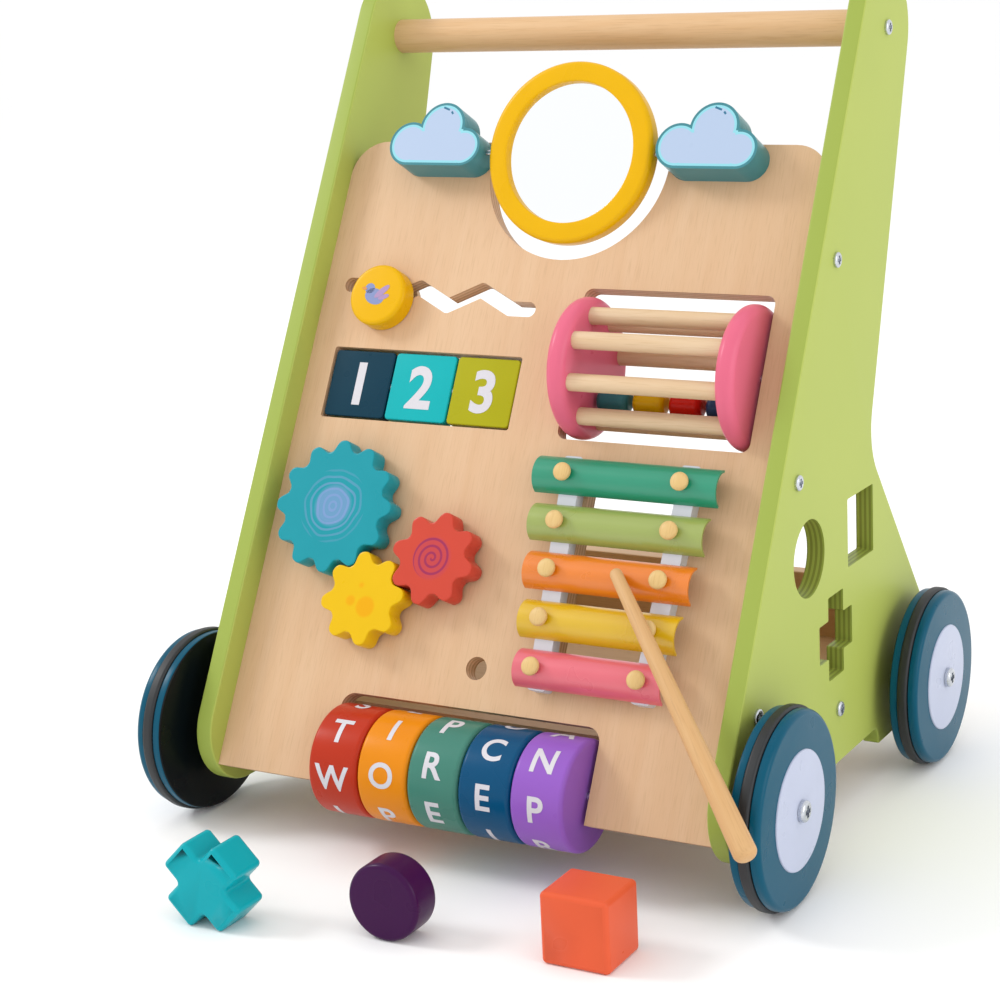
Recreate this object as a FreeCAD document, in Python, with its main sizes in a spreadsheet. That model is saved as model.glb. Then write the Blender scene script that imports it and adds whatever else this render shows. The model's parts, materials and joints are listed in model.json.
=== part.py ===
import FreeCAD, Part
import math
import os
import Sketcher

# Wooden baby walker with an activity board.  All sizes in millimetres.
# +Z is up, the activity board faces -Y, +X is to the right of someone facing the board.
# The origin is on the floor, midway between the side panels.

V = FreeCAD.Vector
doc = FreeCAD.newDocument("baby_walker")
sheet = doc.addObject("Spreadsheet::Sheet", "Sizes")

SIZES = [
    # frame
    ("inner_width", 300.0, "distance between the two side panels"),
    ("panel_thickness", 10.0, "plywood of the side panels"),
    ("board_thickness", 10.0, "plywood of the activity board"),
    ("shelf_thickness", 10.0, "plywood of the base and back boards"),
    ("lean", 27.8, "lean of the activity board from upright, degrees"),
    ("front_foot_y", -193.1, "where the panel's front edge line meets the floor"),
    ("board_inset", 14.7, "board face behind the panel's front edge"),
    ("board_bottom", 41.5, "board's lower edge, measured up its slope"),
    ("board_top", 410.5, "board's upper edge, measured up its slope"),
    ("board_corner", 21.0, "radius of the board's upper corners"),
    ("front_axle_y", -131.1, "front axle"),
    ("rear_axle_y", 86.4, "rear axle"),
    ("handle_height", 421.9, "handle axis above the floor"),
    ("handle_radius", 9.9, "push handle dowel"),
    ("handle_lobe", 34.5, "panel radius around the handle"),
    ("front_lobe", 31.0, "panel radius at its front lower corner"),
    ("rear_lobe", 40.0, "panel radius at its rear lower corner"),
    ("lobe_bottom", 20.5, "underside of the panel at the wheels"),
    ("arch_bottom", 31.0, "underside of the panel between the wheels"),
    ("waist_y", 35.9, "rear waist corner of the panel"),
    ("waist_height", 197.0, "height of the waist corner"),
    ("waist_radius", 38.0, "rounding of the waist"),
    ("step_radius", 5.0, "rounding of the steps in the panel's underside"),
    ("edge_round", 1.2, "softened panel edges"),
    ("shelf_height", 61.7, "middle of the base board above the floor"),
    ("shelf_front_y", -112.0, "front edge of the base board"),
    ("back_board_y", 88.0, "front face of the back board"),
    ("back_board_top", 105.0, "top edge of the back board"),
    # shape sorter holes in the right panel
    ("hole_height", 156.0, "round and square holes above the floor"),
    ("round_hole_y", -51.6, "centre of the round hole"),
    ("round_hole_radius", 20.75, "round sorter hole"),
    ("square_hole_y", 21.3, "centre of the square hole"),
    ("square_hole_side", 38.0, "square sorter hole"),
    ("cross_hole_y", -16.3, "centre of the cross hole"),
    ("cross_hole_height", 104.3, "cross hole above the floor"),
    ("cross_hole_span", 46.5, "cross hole, tip to tip"),
    ("cross_hole_arm", 21.3, "cross hole, arm width"),
    ("block_gap", 0.8, "clearance of a block in its hole, each side"),
    ("block_round", 2.5, "softened block edges"),
    ("cylinder_length", 18.5, "round block"),
    ("cube_depth", 32.0, "square block"),
    ("cross_depth", 22.0, "cross block"),
    # fasteners
    ("screw_radius", 2.0, "panel screw shank"),
    ("screw_head_radius", 4.2, "panel screw head"),
    ("screw_head_height", 2.0, "panel screw head"),
    ("screw_length", 32.0, "panel screw below its head"),
    ("screw_setback", 22.3, "screw line behind the panel's front edge"),
    ("screw_low", 93.2, "lowest of the board screws"),
    ("screw_pitch", 106.4, "height from one board screw to the next"),
    ("shelf_screw_y", -13.6, "screw into the base board"),
    # wheels
    ("wheel_radius", 50.0, "wheel disc"),
    ("wheel_width", 16.4, "wheel disc"),
    ("wheel_round", 3.0, "rounded rim of the wheel"),
    ("tyre_proud", 1.4, "rubber ring stands out of the rim"),
    ("tyre_width", 6.0, "rubber ring"),
    ("tyre_depth", 5.0, "groove for the rubber ring"),
    ("tyre_offset", 0.3, "ring's middle inboard of the wheel's middle"),
    ("hub_radius", 30.4, "hub disc"),
    ("hub_thickness", 0.9, "hub disc"),
    ("bolt_radius", 3.0, "wheel bolt shank"),
    ("bolt_head_radius", 5.6, "wheel bolt head"),
    ("bolt_head_height", 3.2, "wheel bolt head"),
    ("washer_radius", 10.0, "spacer between panel and wheel"),
    ("washer_thickness", 9.6, "spacer between panel and wheel"),
    ("side_play", 0.2, "play along an axle"),
    ("running_gap", 0.08, "radial clearance of a turning fit"),
    # mirror
    ("mirror_v", 400.5, "mirror pivot, up the slope"),
    ("ring_radius", 51.0, "mirror ring"),
    ("glass_radius", 39.5, "mirror"),
    ("ring_thickness", 11.0, "mirror ring"),
    ("glass_thickness", 4.0, "mirror"),
    ("ring_round", 3.0, "rounded edges of the ring"),
    ("mirror_tilt", 10.5, "mirror more upright than the board, degrees"),
    ("notch_v", 397.5, "centre of the round notch in the board"),
    ("notch_radius", 56.0, "round notch in the board"),
    ("wire_radius", 1.5, "pivot wire"),
    ("wire_depth", 9.0, "pivot wire inside the ring and inside a cloud"),
    # clouds
    ("cloud_x", 85.0, "middle of a cloud"),
    ("cloud_bottom", 389.0, "flat underside of a cloud, up the slope"),
    ("cloud_thickness", 18.0, "cloud"),
    # bird slider
    ("slot_width", 8.6, "zigzag slot"),
    ("slot_low", 312.0, "slot valleys, up the slope"),
    ("slot_rise", 10.0, "slot peaks above the valleys"),
    ("slot_first_x", -127.2, "first peak of the slot"),
    ("slot_step", 20.5, "from a peak to the next valley"),
    ("slot_lead_left", 5.5, "level run before the first peak"),
    ("slot_lead_right", 11.5, "level run after the last valley"),
    ("slider_swing", 3.5, "radius of the knob's wave"),
    ("slider_peg_radius", 2.4, "peg in the slot"),
    ("slider_radius", 18.0, "bird knob"),
    ("slider_thickness", 10.5, "bird knob"),
    ("slider_lift", 0.6, "gap between knob and board"),
    ("retainer_radius", 13.0, "disc behind the slot"),
    ("retainer_thickness", 5.0, "disc behind the slot"),
    # number tiles
    ("tile_v", 263.7, "tile rod, up the slope"),
    ("tile_left", -134.0, "left edge of the tile window"),
    ("tile_right", -10.8, "right edge of the tile window"),
    ("tile_window_height", 41.8, "tile window"),
    ("tile_height", 38.8, "tile"),
    ("tile_thickness", 8.5, "tile"),
    ("tile_gap", 1.1, "gap beside each tile"),
    ("tile_corner", 2.2, "tile corner radius"),
    ("rod_radius", 3.0, "steel rods of the tiles and rollers"),
    ("rod_seat", 8.0, "rod end inside the board"),
    # gears
    ("gear_module", 5.8, "pitch diameter for each tooth"),
    ("gear_big_teeth", 12.0, "large gear"),
    ("gear_small_teeth", 8.0, "small gears"),
    ("gear_tooth_half", 3.0, "half height of the rounded teeth"),
    ("gear_flank", 0.08, "how much steeper the flanks are than a plain wave"),
    ("gear_backlash", 0.35, "each gear under its pitch size"),
    ("gear_thickness", 12.0, "gear"),
    ("gear_lift", 2.2, "gap between gear and board"),
    ("gear_yellow_x", -71.4, "yellow gear"),
    ("gear_yellow_v", 140.4, "yellow gear, up the slope"),
    ("gear_big_angle", 122.4, "direction from the yellow gear to the big one"),
    ("gear_red_angle", 33.7, "direction from the yellow gear to the red one"),
    ("gear_pin_radius", 4.0, "fixed pin of a gear"),
    ("gear_pin_depth", 8.0, "pin inside the gear"),
    # rattle
    ("rattle_left", 19.8, "left edge of the rattle window"),
    ("rattle_right", 132.6, "right edge of the rattle window"),
    ("rattle_low", 240.5, "lower edge of the rattle window, up the slope"),
    ("rattle_high", 325.7, "upper edge of the rattle window, up the slope"),
    ("rattle_v", 281.8, "rattle axis, up the slope"),
    ("window_corner", 5.0, "corner radius of the windows"),
    ("rattle_disc_radius", 38.7, "end disc"),
    ("rattle_disc_thickness", 11.0, "end disc"),
    ("rattle_disc_round", 5.0, "rounded rim of an end disc"),
    ("rattle_side_gap", 2.0, "gap between end disc and board"),
    ("dowel_count", 8.0, "dowels round the rattle"),
    ("dowel_circle", 29.4, "dowel circle radius"),
    ("dowel_radius", 4.8, "dowel"),
    ("dowel_socket", 5.0, "dowel end inside a disc"),
    ("dowel_first", 104.0, "first dowel above the board's outward direction, degrees"),
    ("bead_radius", 7.2, "barrel beads in the rattle"),
    ("bead_length", 18.4, "barrel bead"),
    ("bead_round", 4.0, "rounded ends of a bead"),
    ("bead_count", 4.0, "beads in the rattle"),
    ("bead_gap", 0.4, "gap between a bead and the dowels it lies on"),
    ("rattle_pin_radius", 2.5, "pivot pin"),
    ("rattle_pin_seat", 7.0, "pin inside the board and inside a disc"),
    # letter rollers
    ("roller_v", 56.4, "roller rod, up the slope"),
    ("roller_radius", 29.2, "roller"),
    ("roller_length", 30.2, "one roller"),
    ("roller_play", 0.5, "gap between two rollers"),
    ("roller_round", 2.5, "rounded roller edges"),
    ("roller_window_half", 79.0, "half width of the roller opening"),
    ("roller_window_top", 90.8, "top of the roller opening, up the slope"),
    ("roller_window_corner", 8.0, "corner radius of the roller opening"),
    # xylophone
    ("bar_first_v", 115.5, "lowest bar, up the slope"),
    ("bar_pitch", 25.8, "from one bar to the next"),
    ("bar_middle_x", 71.2, "middle of the bars"),
    ("bar_short", 85.0, "lowest bar"),
    ("bar_growth", 5.5, "each bar is longer than the one below"),
    ("bar_width", 20.2, "bar"),
    ("bar_arch", 7.5, "height of the bar's arch"),
    ("bar_sheet", 1.2, "sheet thickness of a bar"),
    ("rail_height", 7.5, "rail under the bars"),
    ("rail_width", 11.0, "rail under the bars"),
    ("rail_low_half", 30.3, "half distance of the rails at the lowest bar"),
    ("rail_high_half", 34.1, "half distance of the rails at the highest bar"),
    ("rail_overhang", 11.0, "rail beyond the first and last bar"),
    ("peg_head_radius", 4.9, "bar peg head"),
    ("peg_head_height", 5.0, "bar peg head"),
    ("peg_radius", 2.0, "bar peg shank"),
    ("peg_gap", 0.6, "bar loose on its pegs"),
    ("xylo_window_left", 45.0, "window behind the bars"),
    ("xylo_window_right", 97.0, "window behind the bars"),
    ("xylo_window_low", 109.0, "window behind the bars"),
    ("xylo_window_high", 226.0, "window behind the bars"),
    # beater
    ("beater_tip_radius", 3.3, "thin end"),
    ("beater_butt_radius", 6.0, "thick end"),
    ("beater_tip_x", 78.8, "thin end over the bars"),
    ("beater_tip_v", 169.4, "thin end over the bars"),
    ("beater_tip_w", 19.0, "thin end over the bars"),
    ("beater_length", 175.6, "beater"),
    ("beater_hole_radius", 6.2, "hole that stores the beater"),
    ("beater_hole_x", -0.6, "hole that stores the beater"),
    ("beater_hole_v", 112.6, "hole that stores the beater"),
]

SIZE = {}
for row, (name, value, note) in enumerate(SIZES, start=1):
    sheet.set("A%d" % row, name)
    sheet.set("B%d" % row, str(value))
    sheet.set("C%d" % row, note)
    sheet.setAlias("B%d" % row, name)
    SIZE[name] = value
doc.recompute()
S = SIZE

# ---------------------------------------------------------------- helpers

LEAN = math.radians(S["lean"])
UP = V(0, math.sin(LEAN), math.cos(LEAN))
OUT = V(0, -math.cos(LEAN), math.sin(LEAN))
BOARD_FOOT = S["front_foot_y"] + S["board_inset"] / math.cos(LEAN)
BOARD = FreeCAD.Placement(V(0, BOARD_FOOT, 0), FreeCAD.Rotation(V(1, 0, 0), 90 - S["lean"]))
HALF = S["inner_width"] / 2
OUTER = HALF + S["panel_thickness"]
AXLE_HEIGHT = S["wheel_radius"] + S["tyre_proud"]
MID_BOARD = -S["board_thickness"] / 2
X_AXIS = FreeCAD.Rotation(V(0, 1, 0), 90)
X_BACK = FreeCAD.Rotation(V(0, 1, 0), -90)
NO_TURN = FreeCAD.Rotation()

parts = []


def cell(name):
    return "Sizes." + name


def at(x, y, z, turn=NO_TURN):
    return FreeCAD.Placement(V(x, y, z), turn)


def on_board(x, v, w, turn=NO_TURN):
    """Placement of something given in board coordinates: across, up the slope, out of the face."""
    return BOARD.multiply(at(x, v, w, turn))


def keep(obj, label):
    obj.Label = label
    parts.append(obj)
    return obj


def origin_plane(body, role):
    return [f for f in body.Origin.OriginFeatures if f.Role == role][0]


def new_body(label, placement):
    body = doc.addObject("PartDesign::Body", label)
    body.Placement = placement
    return keep(body, label)


def sketch_on(body, geometry, role="XY_Plane"):
    sketch = body.newObject("Sketcher::SketchObject", body.Label + "_sketch")
    sketch.AttachmentSupport = [(origin_plane(body, role), "")]
    sketch.MapMode = "FlatFace"
    sketch.addGeometry(geometry, False)
    return sketch


def solid_volume(body):
    doc.recompute()
    return body.Shape.Volume


def pad(body, geometry, length, role="XY_Plane", backwards=False):
    sketch = sketch_on(body, geometry, role)
    feature = body.newObject("PartDesign::Pad", body.Label + "_pad")
    feature.Profile = sketch
    feature.setExpression("Length", length)
    feature.Reversed = backwards
    return feature


def cut_through(body, geometry, role="XY_Plane", backwards=False):
    before = solid_volume(body)
    sketch = sketch_on(body, geometry, role)
    feature = body.newObject("PartDesign::Pocket", body.Label + "_opening")
    feature.Profile = sketch
    feature.Type = 1
    feature.Reversed = backwards
    if solid_volume(body) >= before:
        raise ValueError("an opening removed nothing from " + body.Label)
    return feature


def drill(body, radius, length, placement, extra=""):
    """A round hole along the placement's Z axis, in the body's own coordinates."""
    before = solid_volume(body)
    hole = body.newObject("PartDesign::SubtractiveCylinder", body.Label + "_hole")
    hole.setExpression("Radius", radius + extra)
    hole.setExpression("Height", length)
    hole.Placement = placement
    if solid_volume(body) >= before:
        raise ValueError("a hole removed nothing from " + body.Label)
    return hole


def soften(body, feature, radius, choose):
    """Fillet the edges of a feature that choose(edge) accepts."""
    doc.recompute()
    names = ["Edge%d" % (i + 1) for i, e in enumerate(feature.Shape.Edges) if choose(e)]
    fillet = body.newObject("PartDesign::Fillet", body.Label + "_soft")
    fillet.Base = (feature, names)
    fillet.setExpression("Radius", radius)
    return fillet


def rounded(corners):
    """Closed outline from corners (a, b, radius): straight lines joined by tangent arcs."""
    count = len(corners)
    starts, ends, arcs = [], [], []
    for i in range(count):
        p = V(corners[i][0], corners[i][1], 0)
        before = (V(corners[i - 1][0], corners[i - 1][1], 0) - p).normalize()
        after_corner = corners[(i + 1) % count]
        after = (V(after_corner[0], after_corner[1], 0) - p).normalize()
        radius = corners[i][2]
        half_turn = before.getAngle(after) / 2
        reach = radius / math.tan(half_turn) if radius else 0.0
        start, end = p + before * reach, p + after * reach
        starts.append(start)
        ends.append(end)
        middle = None
        if radius:
            centre = p + (before + after).normalize() * (radius / math.sin(half_turn))
            middle = centre + (p - centre).normalize() * radius
        arcs.append(middle)
    geometry = []
    for i in range(count):
        if arcs[i] is not None:
            geometry.append(Part.Arc(starts[i], arcs[i], ends[i]))
        following = starts[(i + 1) % count]
        if (following - ends[i]).Length > 1e-6:
            geometry.append(Part.LineSegment(ends[i], following))
    return geometry


def box_outline(left, right, low, high, radius=0.0):
    return rounded([(left, low, radius), (right, low, radius), (right, high, radius), (left, high, radius)])


def circle(x, y, radius):
    return [Part.Circle(V(x, y, 0), V(0, 0, 1), radius)]


def lathe(label, profile, placement):
    """Turned piece: profile of (along, radius, corner radius) about the body's own Z axis."""
    body = new_body(label, placement)
    turned = [(radius, along, corner) for along, radius, corner in profile]
    sketch = sketch_on(body, rounded(turned), "XZ_Plane")
    feature = body.newObject("PartDesign::Revolution", label + "_turned")
    feature.Profile = sketch
    feature.ReferenceAxis = (sketch, ["V_Axis"])
    feature.Angle = 360
    return body


def round_bar(label, radius, length, placement):
    bar = doc.addObject("Part::Cylinder", label)
    bar.setExpression("Radius", radius)
    bar.setExpression("Height", length)
    bar.Placement = placement
    return keep(bar, label)


def group(label, shapes):
    """Several equal pieces as separate solids of one sub-part."""
    feature = doc.addObject("Part::Feature", label)
    feature.Shape = Part.makeCompound(shapes)
    return keep(feature, label)


def placed(shape, placement):
    copy = shape.copy()
    copy.Placement = placement
    return copy


def headed_pin(radius, length, head_radius, head_height, domed=True):
    """Pin along -Z below a head that stands above Z = 0."""
    shank = Part.makeCylinder(radius, length, V(0, 0, -length))
    head = Part.makeCylinder(head_radius, head_height)
    if domed:
        rim = [e for e in head.Edges if e.BoundBox.ZMin > head_height / 2]
        head = head.makeFillet(min(head_height, head_radius) * 0.55, rim)
    return shank.fuse(head).removeSplitter()


def with_cross_slot(shape, head_radius, head_height):
    depth = head_height * 0.6
    reach = head_radius * 0.55
    blade = head_radius * 0.22
    for long_x, long_y in ((reach, blade), (blade, reach)):
        corner = V(-long_x, -long_y, head_height - depth)
        shape = shape.cut(Part.makeBox(2 * long_x, 2 * long_y, head_height, corner))
    return shape


# ---------------------------------------------------------------- side panels

def front_edge_y(height):
    return S["front_foot_y"] + math.tan(LEAN) * height


def tangent_direction(point, centre, radius, side):
    """Direction from a point to where its tangent touches a circle, on the given side."""
    away = centre - point
    turn = side * math.asin(radius / away.Length)
    c, s = math.cos(turn), math.sin(turn)
    return V(away.x * c - away.y * s, away.x * s + away.y * c, 0).normalize()


def crossing(p, d, q, e):
    """Where the line p + t d meets the line q + u e."""
    t = ((q.x - p.x) * e.y - (q.y - p.y) * e.x) / (d.x * e.y - d.y * e.x)
    return p + d * t


HANDLE_Y = front_edge_y(S["handle_height"]) + S["handle_lobe"] / math.cos(LEAN)


def panel_outline():
    """Panel outline in (y, z): two lower lobes, a waist behind and a round top at the handle."""
    low, arch, step = S["lobe_bottom"], S["arch_bottom"], S["step_radius"]
    handle = V(HANDLE_Y, S["handle_height"], 0)
    waist = V(S["waist_y"], S["waist_height"], 0)
    rear_lobe = V(S["rear_axle_y"] + 4.5, low + S["rear_lobe"], 0)
    rear_upper = tangent_direction(waist, handle, S["handle_lobe"], -1)
    rear_lower = tangent_direction(waist, rear_lobe, S["rear_lobe"], 1)
    rear_corner = crossing(waist, rear_lower, V(0, low, 0), V(1, 0, 0))
    front = V(math.sin(LEAN), math.cos(LEAN), 0)
    crown = (front + rear_upper).normalize()
    crown_point = handle + crown * S["handle_lobe"]
    across = V(-crown.y, crown.x, 0)
    front_top = crossing(V(S["front_foot_y"], 0, 0), front, crown_point, across)
    rear_top = crossing(waist, rear_upper, crown_point, across)
    front_step = S["front_axle_y"] + S["front_lobe"]
    rear_step = S["rear_axle_y"] - S["rear_lobe"]
    return rounded([
        (front_edge_y(low), low, S["front_lobe"]),
        (front_step - 2, low, step),
        (front_step, arch, step),
        (rear_step - 2, arch, step),
        (rear_step, low, step / 2),
        (rear_corner.x, rear_corner.y, S["rear_lobe"]),
        (waist.x, waist.y, S["waist_radius"]),
        (rear_top.x, rear_top.y, S["handle_lobe"]),
        (front_top.x, front_top.y, S["handle_lobe"]),
    ])


def board_screw_points():
    """Screws along the panel's front edge, level with the activity board's middle."""
    back = S["screw_setback"]
    heights = [S["screw_low"] + i * S["screw_pitch"] for i in range(3)]
    return [(front_edge_y(z) + back, z) for z in heights]


SHELF_SCREW = (S["shelf_screw_y"], S["shelf_height"])
HANDLE_POINT = (HANDLE_Y, S["handle_height"])
AXLE_POINTS = [(S["front_axle_y"], AXLE_HEIGHT), (S["rear_axle_y"], AXLE_HEIGHT)]


def is_outline_edge(edge):
    """Edges that lie in a face of the panel, not across its thickness."""
    return edge.BoundBox.XLength < 1e-3 and edge.BoundBox.DiagonalLength > 3


def side_panel(label, low_x):
    body = new_body(label, at(low_x, 0, 0))
    plate = pad(body, panel_outline(), cell("panel_thickness"), "YZ_Plane")
    soften(body, plate, cell("edge_round"), is_outline_edge)
    for y, z in board_screw_points() + [SHELF_SCREW, HANDLE_POINT]:
        drill(body, cell("screw_radius"), cell("panel_thickness"), at(0, y, z, X_AXIS))
    for y, z in AXLE_POINTS:
        drill(body, cell("bolt_radius"), cell("panel_thickness"), at(0, y, z, X_AXIS))
    return body


def cross_outline(y, z, span, arm, radius=0.0):
    far, near = span / 2, arm / 2
    corners = [(near, far), (near, near), (far, near), (far, -near), (near, -near), (near, -far),
               (-near, -far), (-near, -near), (-far, -near), (-far, near), (-near, near), (-near, far)]
    return rounded([(y + a, z + b, radius) for a, b in corners])


side_panel("side_panel_left", -OUTER)
right_panel = side_panel("side_panel_right", HALF)
cut_through(right_panel, circle(S["round_hole_y"], S["hole_height"], S["round_hole_radius"]),
            "YZ_Plane", backwards=True)
half_square = S["square_hole_side"] / 2
cut_through(right_panel,
            box_outline(S["square_hole_y"] - half_square, S["square_hole_y"] + half_square,
                        S["hole_height"] - half_square, S["hole_height"] + half_square, 1.0),
            "YZ_Plane", backwards=True)
cut_through(right_panel,
            cross_outline(S["cross_hole_y"], S["cross_hole_height"],
                          S["cross_hole_span"], S["cross_hole_arm"], 1.0),
            "YZ_Plane", backwards=True)

# ---------------------------------------------------------------- activity board

GEAR_YELLOW = V(S["gear_yellow_x"], S["gear_yellow_v"], 0)
SMALL_PITCH = S["gear_module"] * S["gear_small_teeth"] / 2
BIG_PITCH = S["gear_module"] * S["gear_big_teeth"] / 2


def direction(degrees):
    return V(math.cos(math.radians(degrees)), math.sin(math.radians(degrees)), 0)


GEAR_BIG = GEAR_YELLOW + direction(S["gear_big_angle"]) * (BIG_PITCH + SMALL_PITCH)
GEAR_RED = GEAR_YELLOW + direction(S["gear_red_angle"]) * (2 * SMALL_PITCH)
RATTLE_V = S["rattle_v"]
BAR_COUNT = 5


def slot_points():
    """Corners of the zigzag slot's centre line."""
    high, low = S["slot_low"] + S["slot_rise"], S["slot_low"]
    first, step = S["slot_first_x"], S["slot_step"]
    points = [V(first - S["slot_lead_left"], high, 0)]
    for i in range(6):
        points.append(V(first + i * step, low if i % 2 else high, 0))
    points.append(V(first + 5 * step + S["slot_lead_right"], low, 0))
    return points


def capsule(a, b, radius):
    along = (b - a).normalize()
    side = V(-along.y, along.x, 0) * radius
    return [Part.LineSegment(a - side, b - side), Part.Arc(b - side, b + along * radius, b + side),
            Part.LineSegment(b + side, a + side), Part.Arc(a + side, a - along * radius, a - side)]


def rail_centre(side, v):
    """X of a rail's middle at a place up the slope; the rails come together towards the short bars."""
    share = (v - S["bar_first_v"]) / (S["bar_pitch"] * (BAR_COUNT - 1))
    half = S["rail_low_half"] + (S["rail_high_half"] - S["rail_low_half"]) * share
    return S["bar_middle_x"] + side * half


BAR_PLACES = [S["bar_first_v"] + i * S["bar_pitch"] for i in range(BAR_COUNT)]
PEG_POINTS = [(rail_centre(side, v), v) for v in BAR_PLACES for side in (-1, 1)]


def activity_board():
    body = new_body("activity_board", BOARD)
    corner = S["board_corner"]
    low, high = S["board_bottom"], S["board_top"]
    pad(body, rounded([(-HALF, low, 0), (HALF, low, 0), (HALF, high, corner), (-HALF, high, corner)]),
        cell("board_thickness"), backwards=True)
    cut_through(body, circle(0, S["notch_v"], S["notch_radius"]))
    half, inner = S["roller_window_half"], S["roller_window_corner"]
    high = S["roller_window_top"]
    cut_through(body, rounded([(-half, low - 5, 0), (half, low - 5, 0),
                               (half, high, inner), (-half, high, inner)]))
    half = S["tile_window_height"] / 2
    cut_through(body, box_outline(S["tile_left"], S["tile_right"],
                                  S["tile_v"] - half, S["tile_v"] + half, 1.5))
    cut_through(body, box_outline(S["rattle_left"], S["rattle_right"], S["rattle_low"], S["rattle_high"],
                                  S["window_corner"]))
    cut_through(body, box_outline(S["xylo_window_left"], S["xylo_window_right"],
                                  S["xylo_window_low"], S["xylo_window_high"], S["window_corner"]))
    points = slot_points()
    for a, b in zip(points, points[1:]):
        cut_through(body, capsule(a, b, S["slot_width"] / 2))
    thickness = cell("board_thickness")
    behind = -S["board_thickness"]
    drill(body, cell("beater_hole_radius"), thickness, at(S["beater_hole_x"], S["beater_hole_v"], behind))
    for gear in (GEAR_BIG, GEAR_YELLOW, GEAR_RED):
        drill(body, cell("gear_pin_radius"), thickness, at(gear.x, gear.y, behind))
    for x, v in PEG_POINTS:
        drill(body, cell("peg_radius"), cell("peg_radius") + " * 2", at(x, v, -2 * S["peg_radius"]))
    seat, mid = cell("rod_seat"), MID_BOARD
    drill(body, cell("rod_radius"), seat, at(S["tile_left"] - S["rod_seat"], S["tile_v"], mid, X_AXIS))
    drill(body, cell("rod_radius"), seat, at(S["tile_right"], S["tile_v"], mid, X_AXIS))
    side = S["roller_window_half"]
    drill(body, cell("rod_radius"), seat, at(-side - S["rod_seat"], S["roller_v"], mid, X_AXIS))
    drill(body, cell("rod_radius"), seat, at(side, S["roller_v"], mid, X_AXIS))
    pin_seat = S["rattle_pin_seat"]
    pin = cell("rattle_pin_seat")
    drill(body, cell("rattle_pin_radius"), pin, at(S["rattle_left"] - pin_seat, RATTLE_V, mid, X_AXIS))
    drill(body, cell("rattle_pin_radius"), pin, at(S["rattle_right"], RATTLE_V, mid, X_AXIS))
    depth = S["screw_length"] - S["panel_thickness"]
    for y, z in board_screw_points():
        spot = BOARD.inverse().multVec(V(0, y, z))
        for x, turn in ((HALF - depth, X_AXIS), (-HALF, X_AXIS)):
            drill(body, cell("screw_radius"), cell("screw_length") + " - " + cell("panel_thickness"),
                  at(x, spot.y, spot.z, turn))
    return body


activity_board()

# ---------------------------------------------------------------- base board, back board, handle

SHELF_TOP = S["shelf_height"] + S["shelf_thickness"] / 2
BACK_REAR = S["back_board_y"] + S["shelf_thickness"]

base = new_body("base_board", at(0, 0, SHELF_TOP - S["shelf_thickness"]))
pad(base, box_outline(-HALF, HALF, S["shelf_front_y"], S["back_board_y"]), cell("shelf_thickness"))
screw_depth = S["screw_length"] - S["panel_thickness"]
for x in (-HALF, HALF - screw_depth):
    drill(base, cell("screw_radius"), cell("screw_length") + " - " + cell("panel_thickness"),
          at(x, SHELF_SCREW[0], S["shelf_thickness"] / 2, X_AXIS))

back = new_body("back_board", at(0, BACK_REAR, 0))
pad(back, box_outline(-HALF, HALF, SHELF_TOP - S["shelf_thickness"], S["back_board_top"]),
    cell("shelf_thickness"), "XZ_Plane")

handle = new_body("push_handle", at(-HALF, HANDLE_Y, S["handle_height"], X_AXIS))
pad(handle, circle(0, 0, S["handle_radius"]), cell("inner_width"))
for z in (0, S["inner_width"] - screw_depth):
    drill(handle, cell("screw_radius"), cell("screw_length") + " - " + cell("panel_thickness"), at(0, 0, z))

# ---------------------------------------------------------------- screws

panel_screw = with_cross_slot(headed_pin(S["screw_radius"], S["screw_length"], S["screw_head_radius"],
                                         S["screw_head_height"]),
                              S["screw_head_radius"], S["screw_head_height"])


def screws_at(points):
    placed_screws = []
    for y, z in points:
        placed_screws.append(placed(panel_screw, at(OUTER, y, z, X_AXIS)))
        placed_screws.append(placed(panel_screw, at(-OUTER, y, z, X_BACK)))
    return placed_screws


group("panel_screws", screws_at(board_screw_points() + [SHELF_SCREW]))
group("handle_screws", screws_at([HANDLE_POINT]))

# ---------------------------------------------------------------- wheels

WHEEL_IN = OUTER + S["washer_thickness"] + S["side_play"]
WHEEL_OUT = WHEEL_IN + S["wheel_width"]
HEAD_SEAT = WHEEL_OUT + S["hub_thickness"] + S["side_play"]
BORE = S["bolt_radius"] + S["running_gap"]


def wheel(name, side, y):
    """Disc with a groove, rubber ring and hub disc.  The turning axis is the body's own Z."""
    turn = X_AXIS if side > 0 else X_BACK
    place = at(side * WHEEL_IN, y, AXLE_HEIGHT, turn)
    width, radius, soft = S["wheel_width"], S["wheel_radius"], S["wheel_round"]
    groove_mid = width / 2 - S["tyre_offset"]
    groove = (groove_mid - S["tyre_width"] / 2, groove_mid + S["tyre_width"] / 2)
    floor = radius - S["tyre_depth"]
    lathe("wheel_" + name, [(0, BORE, 0), (width, BORE, 0), (width, radius, soft),
                            (groove[1], radius, 0.8), (groove[1], floor, 0), (groove[0], floor, 0),
                            (groove[0], radius, 0.8), (0, radius, soft / 2)], place)
    outer = radius + S["tyre_proud"]
    lathe("tyre_" + name, [(groove[0], floor, 0), (groove[1], floor, 0),
                           (groove[1], outer, 1.6), (groove[0], outer, 1.6)], place)
    lathe("hub_disc_" + name, [(width, BORE, 0), (width + S["hub_thickness"], BORE, 0),
                               (width + S["hub_thickness"], S["hub_radius"], 0.8),
                               (width, S["hub_radius"], 0)], place)


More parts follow.
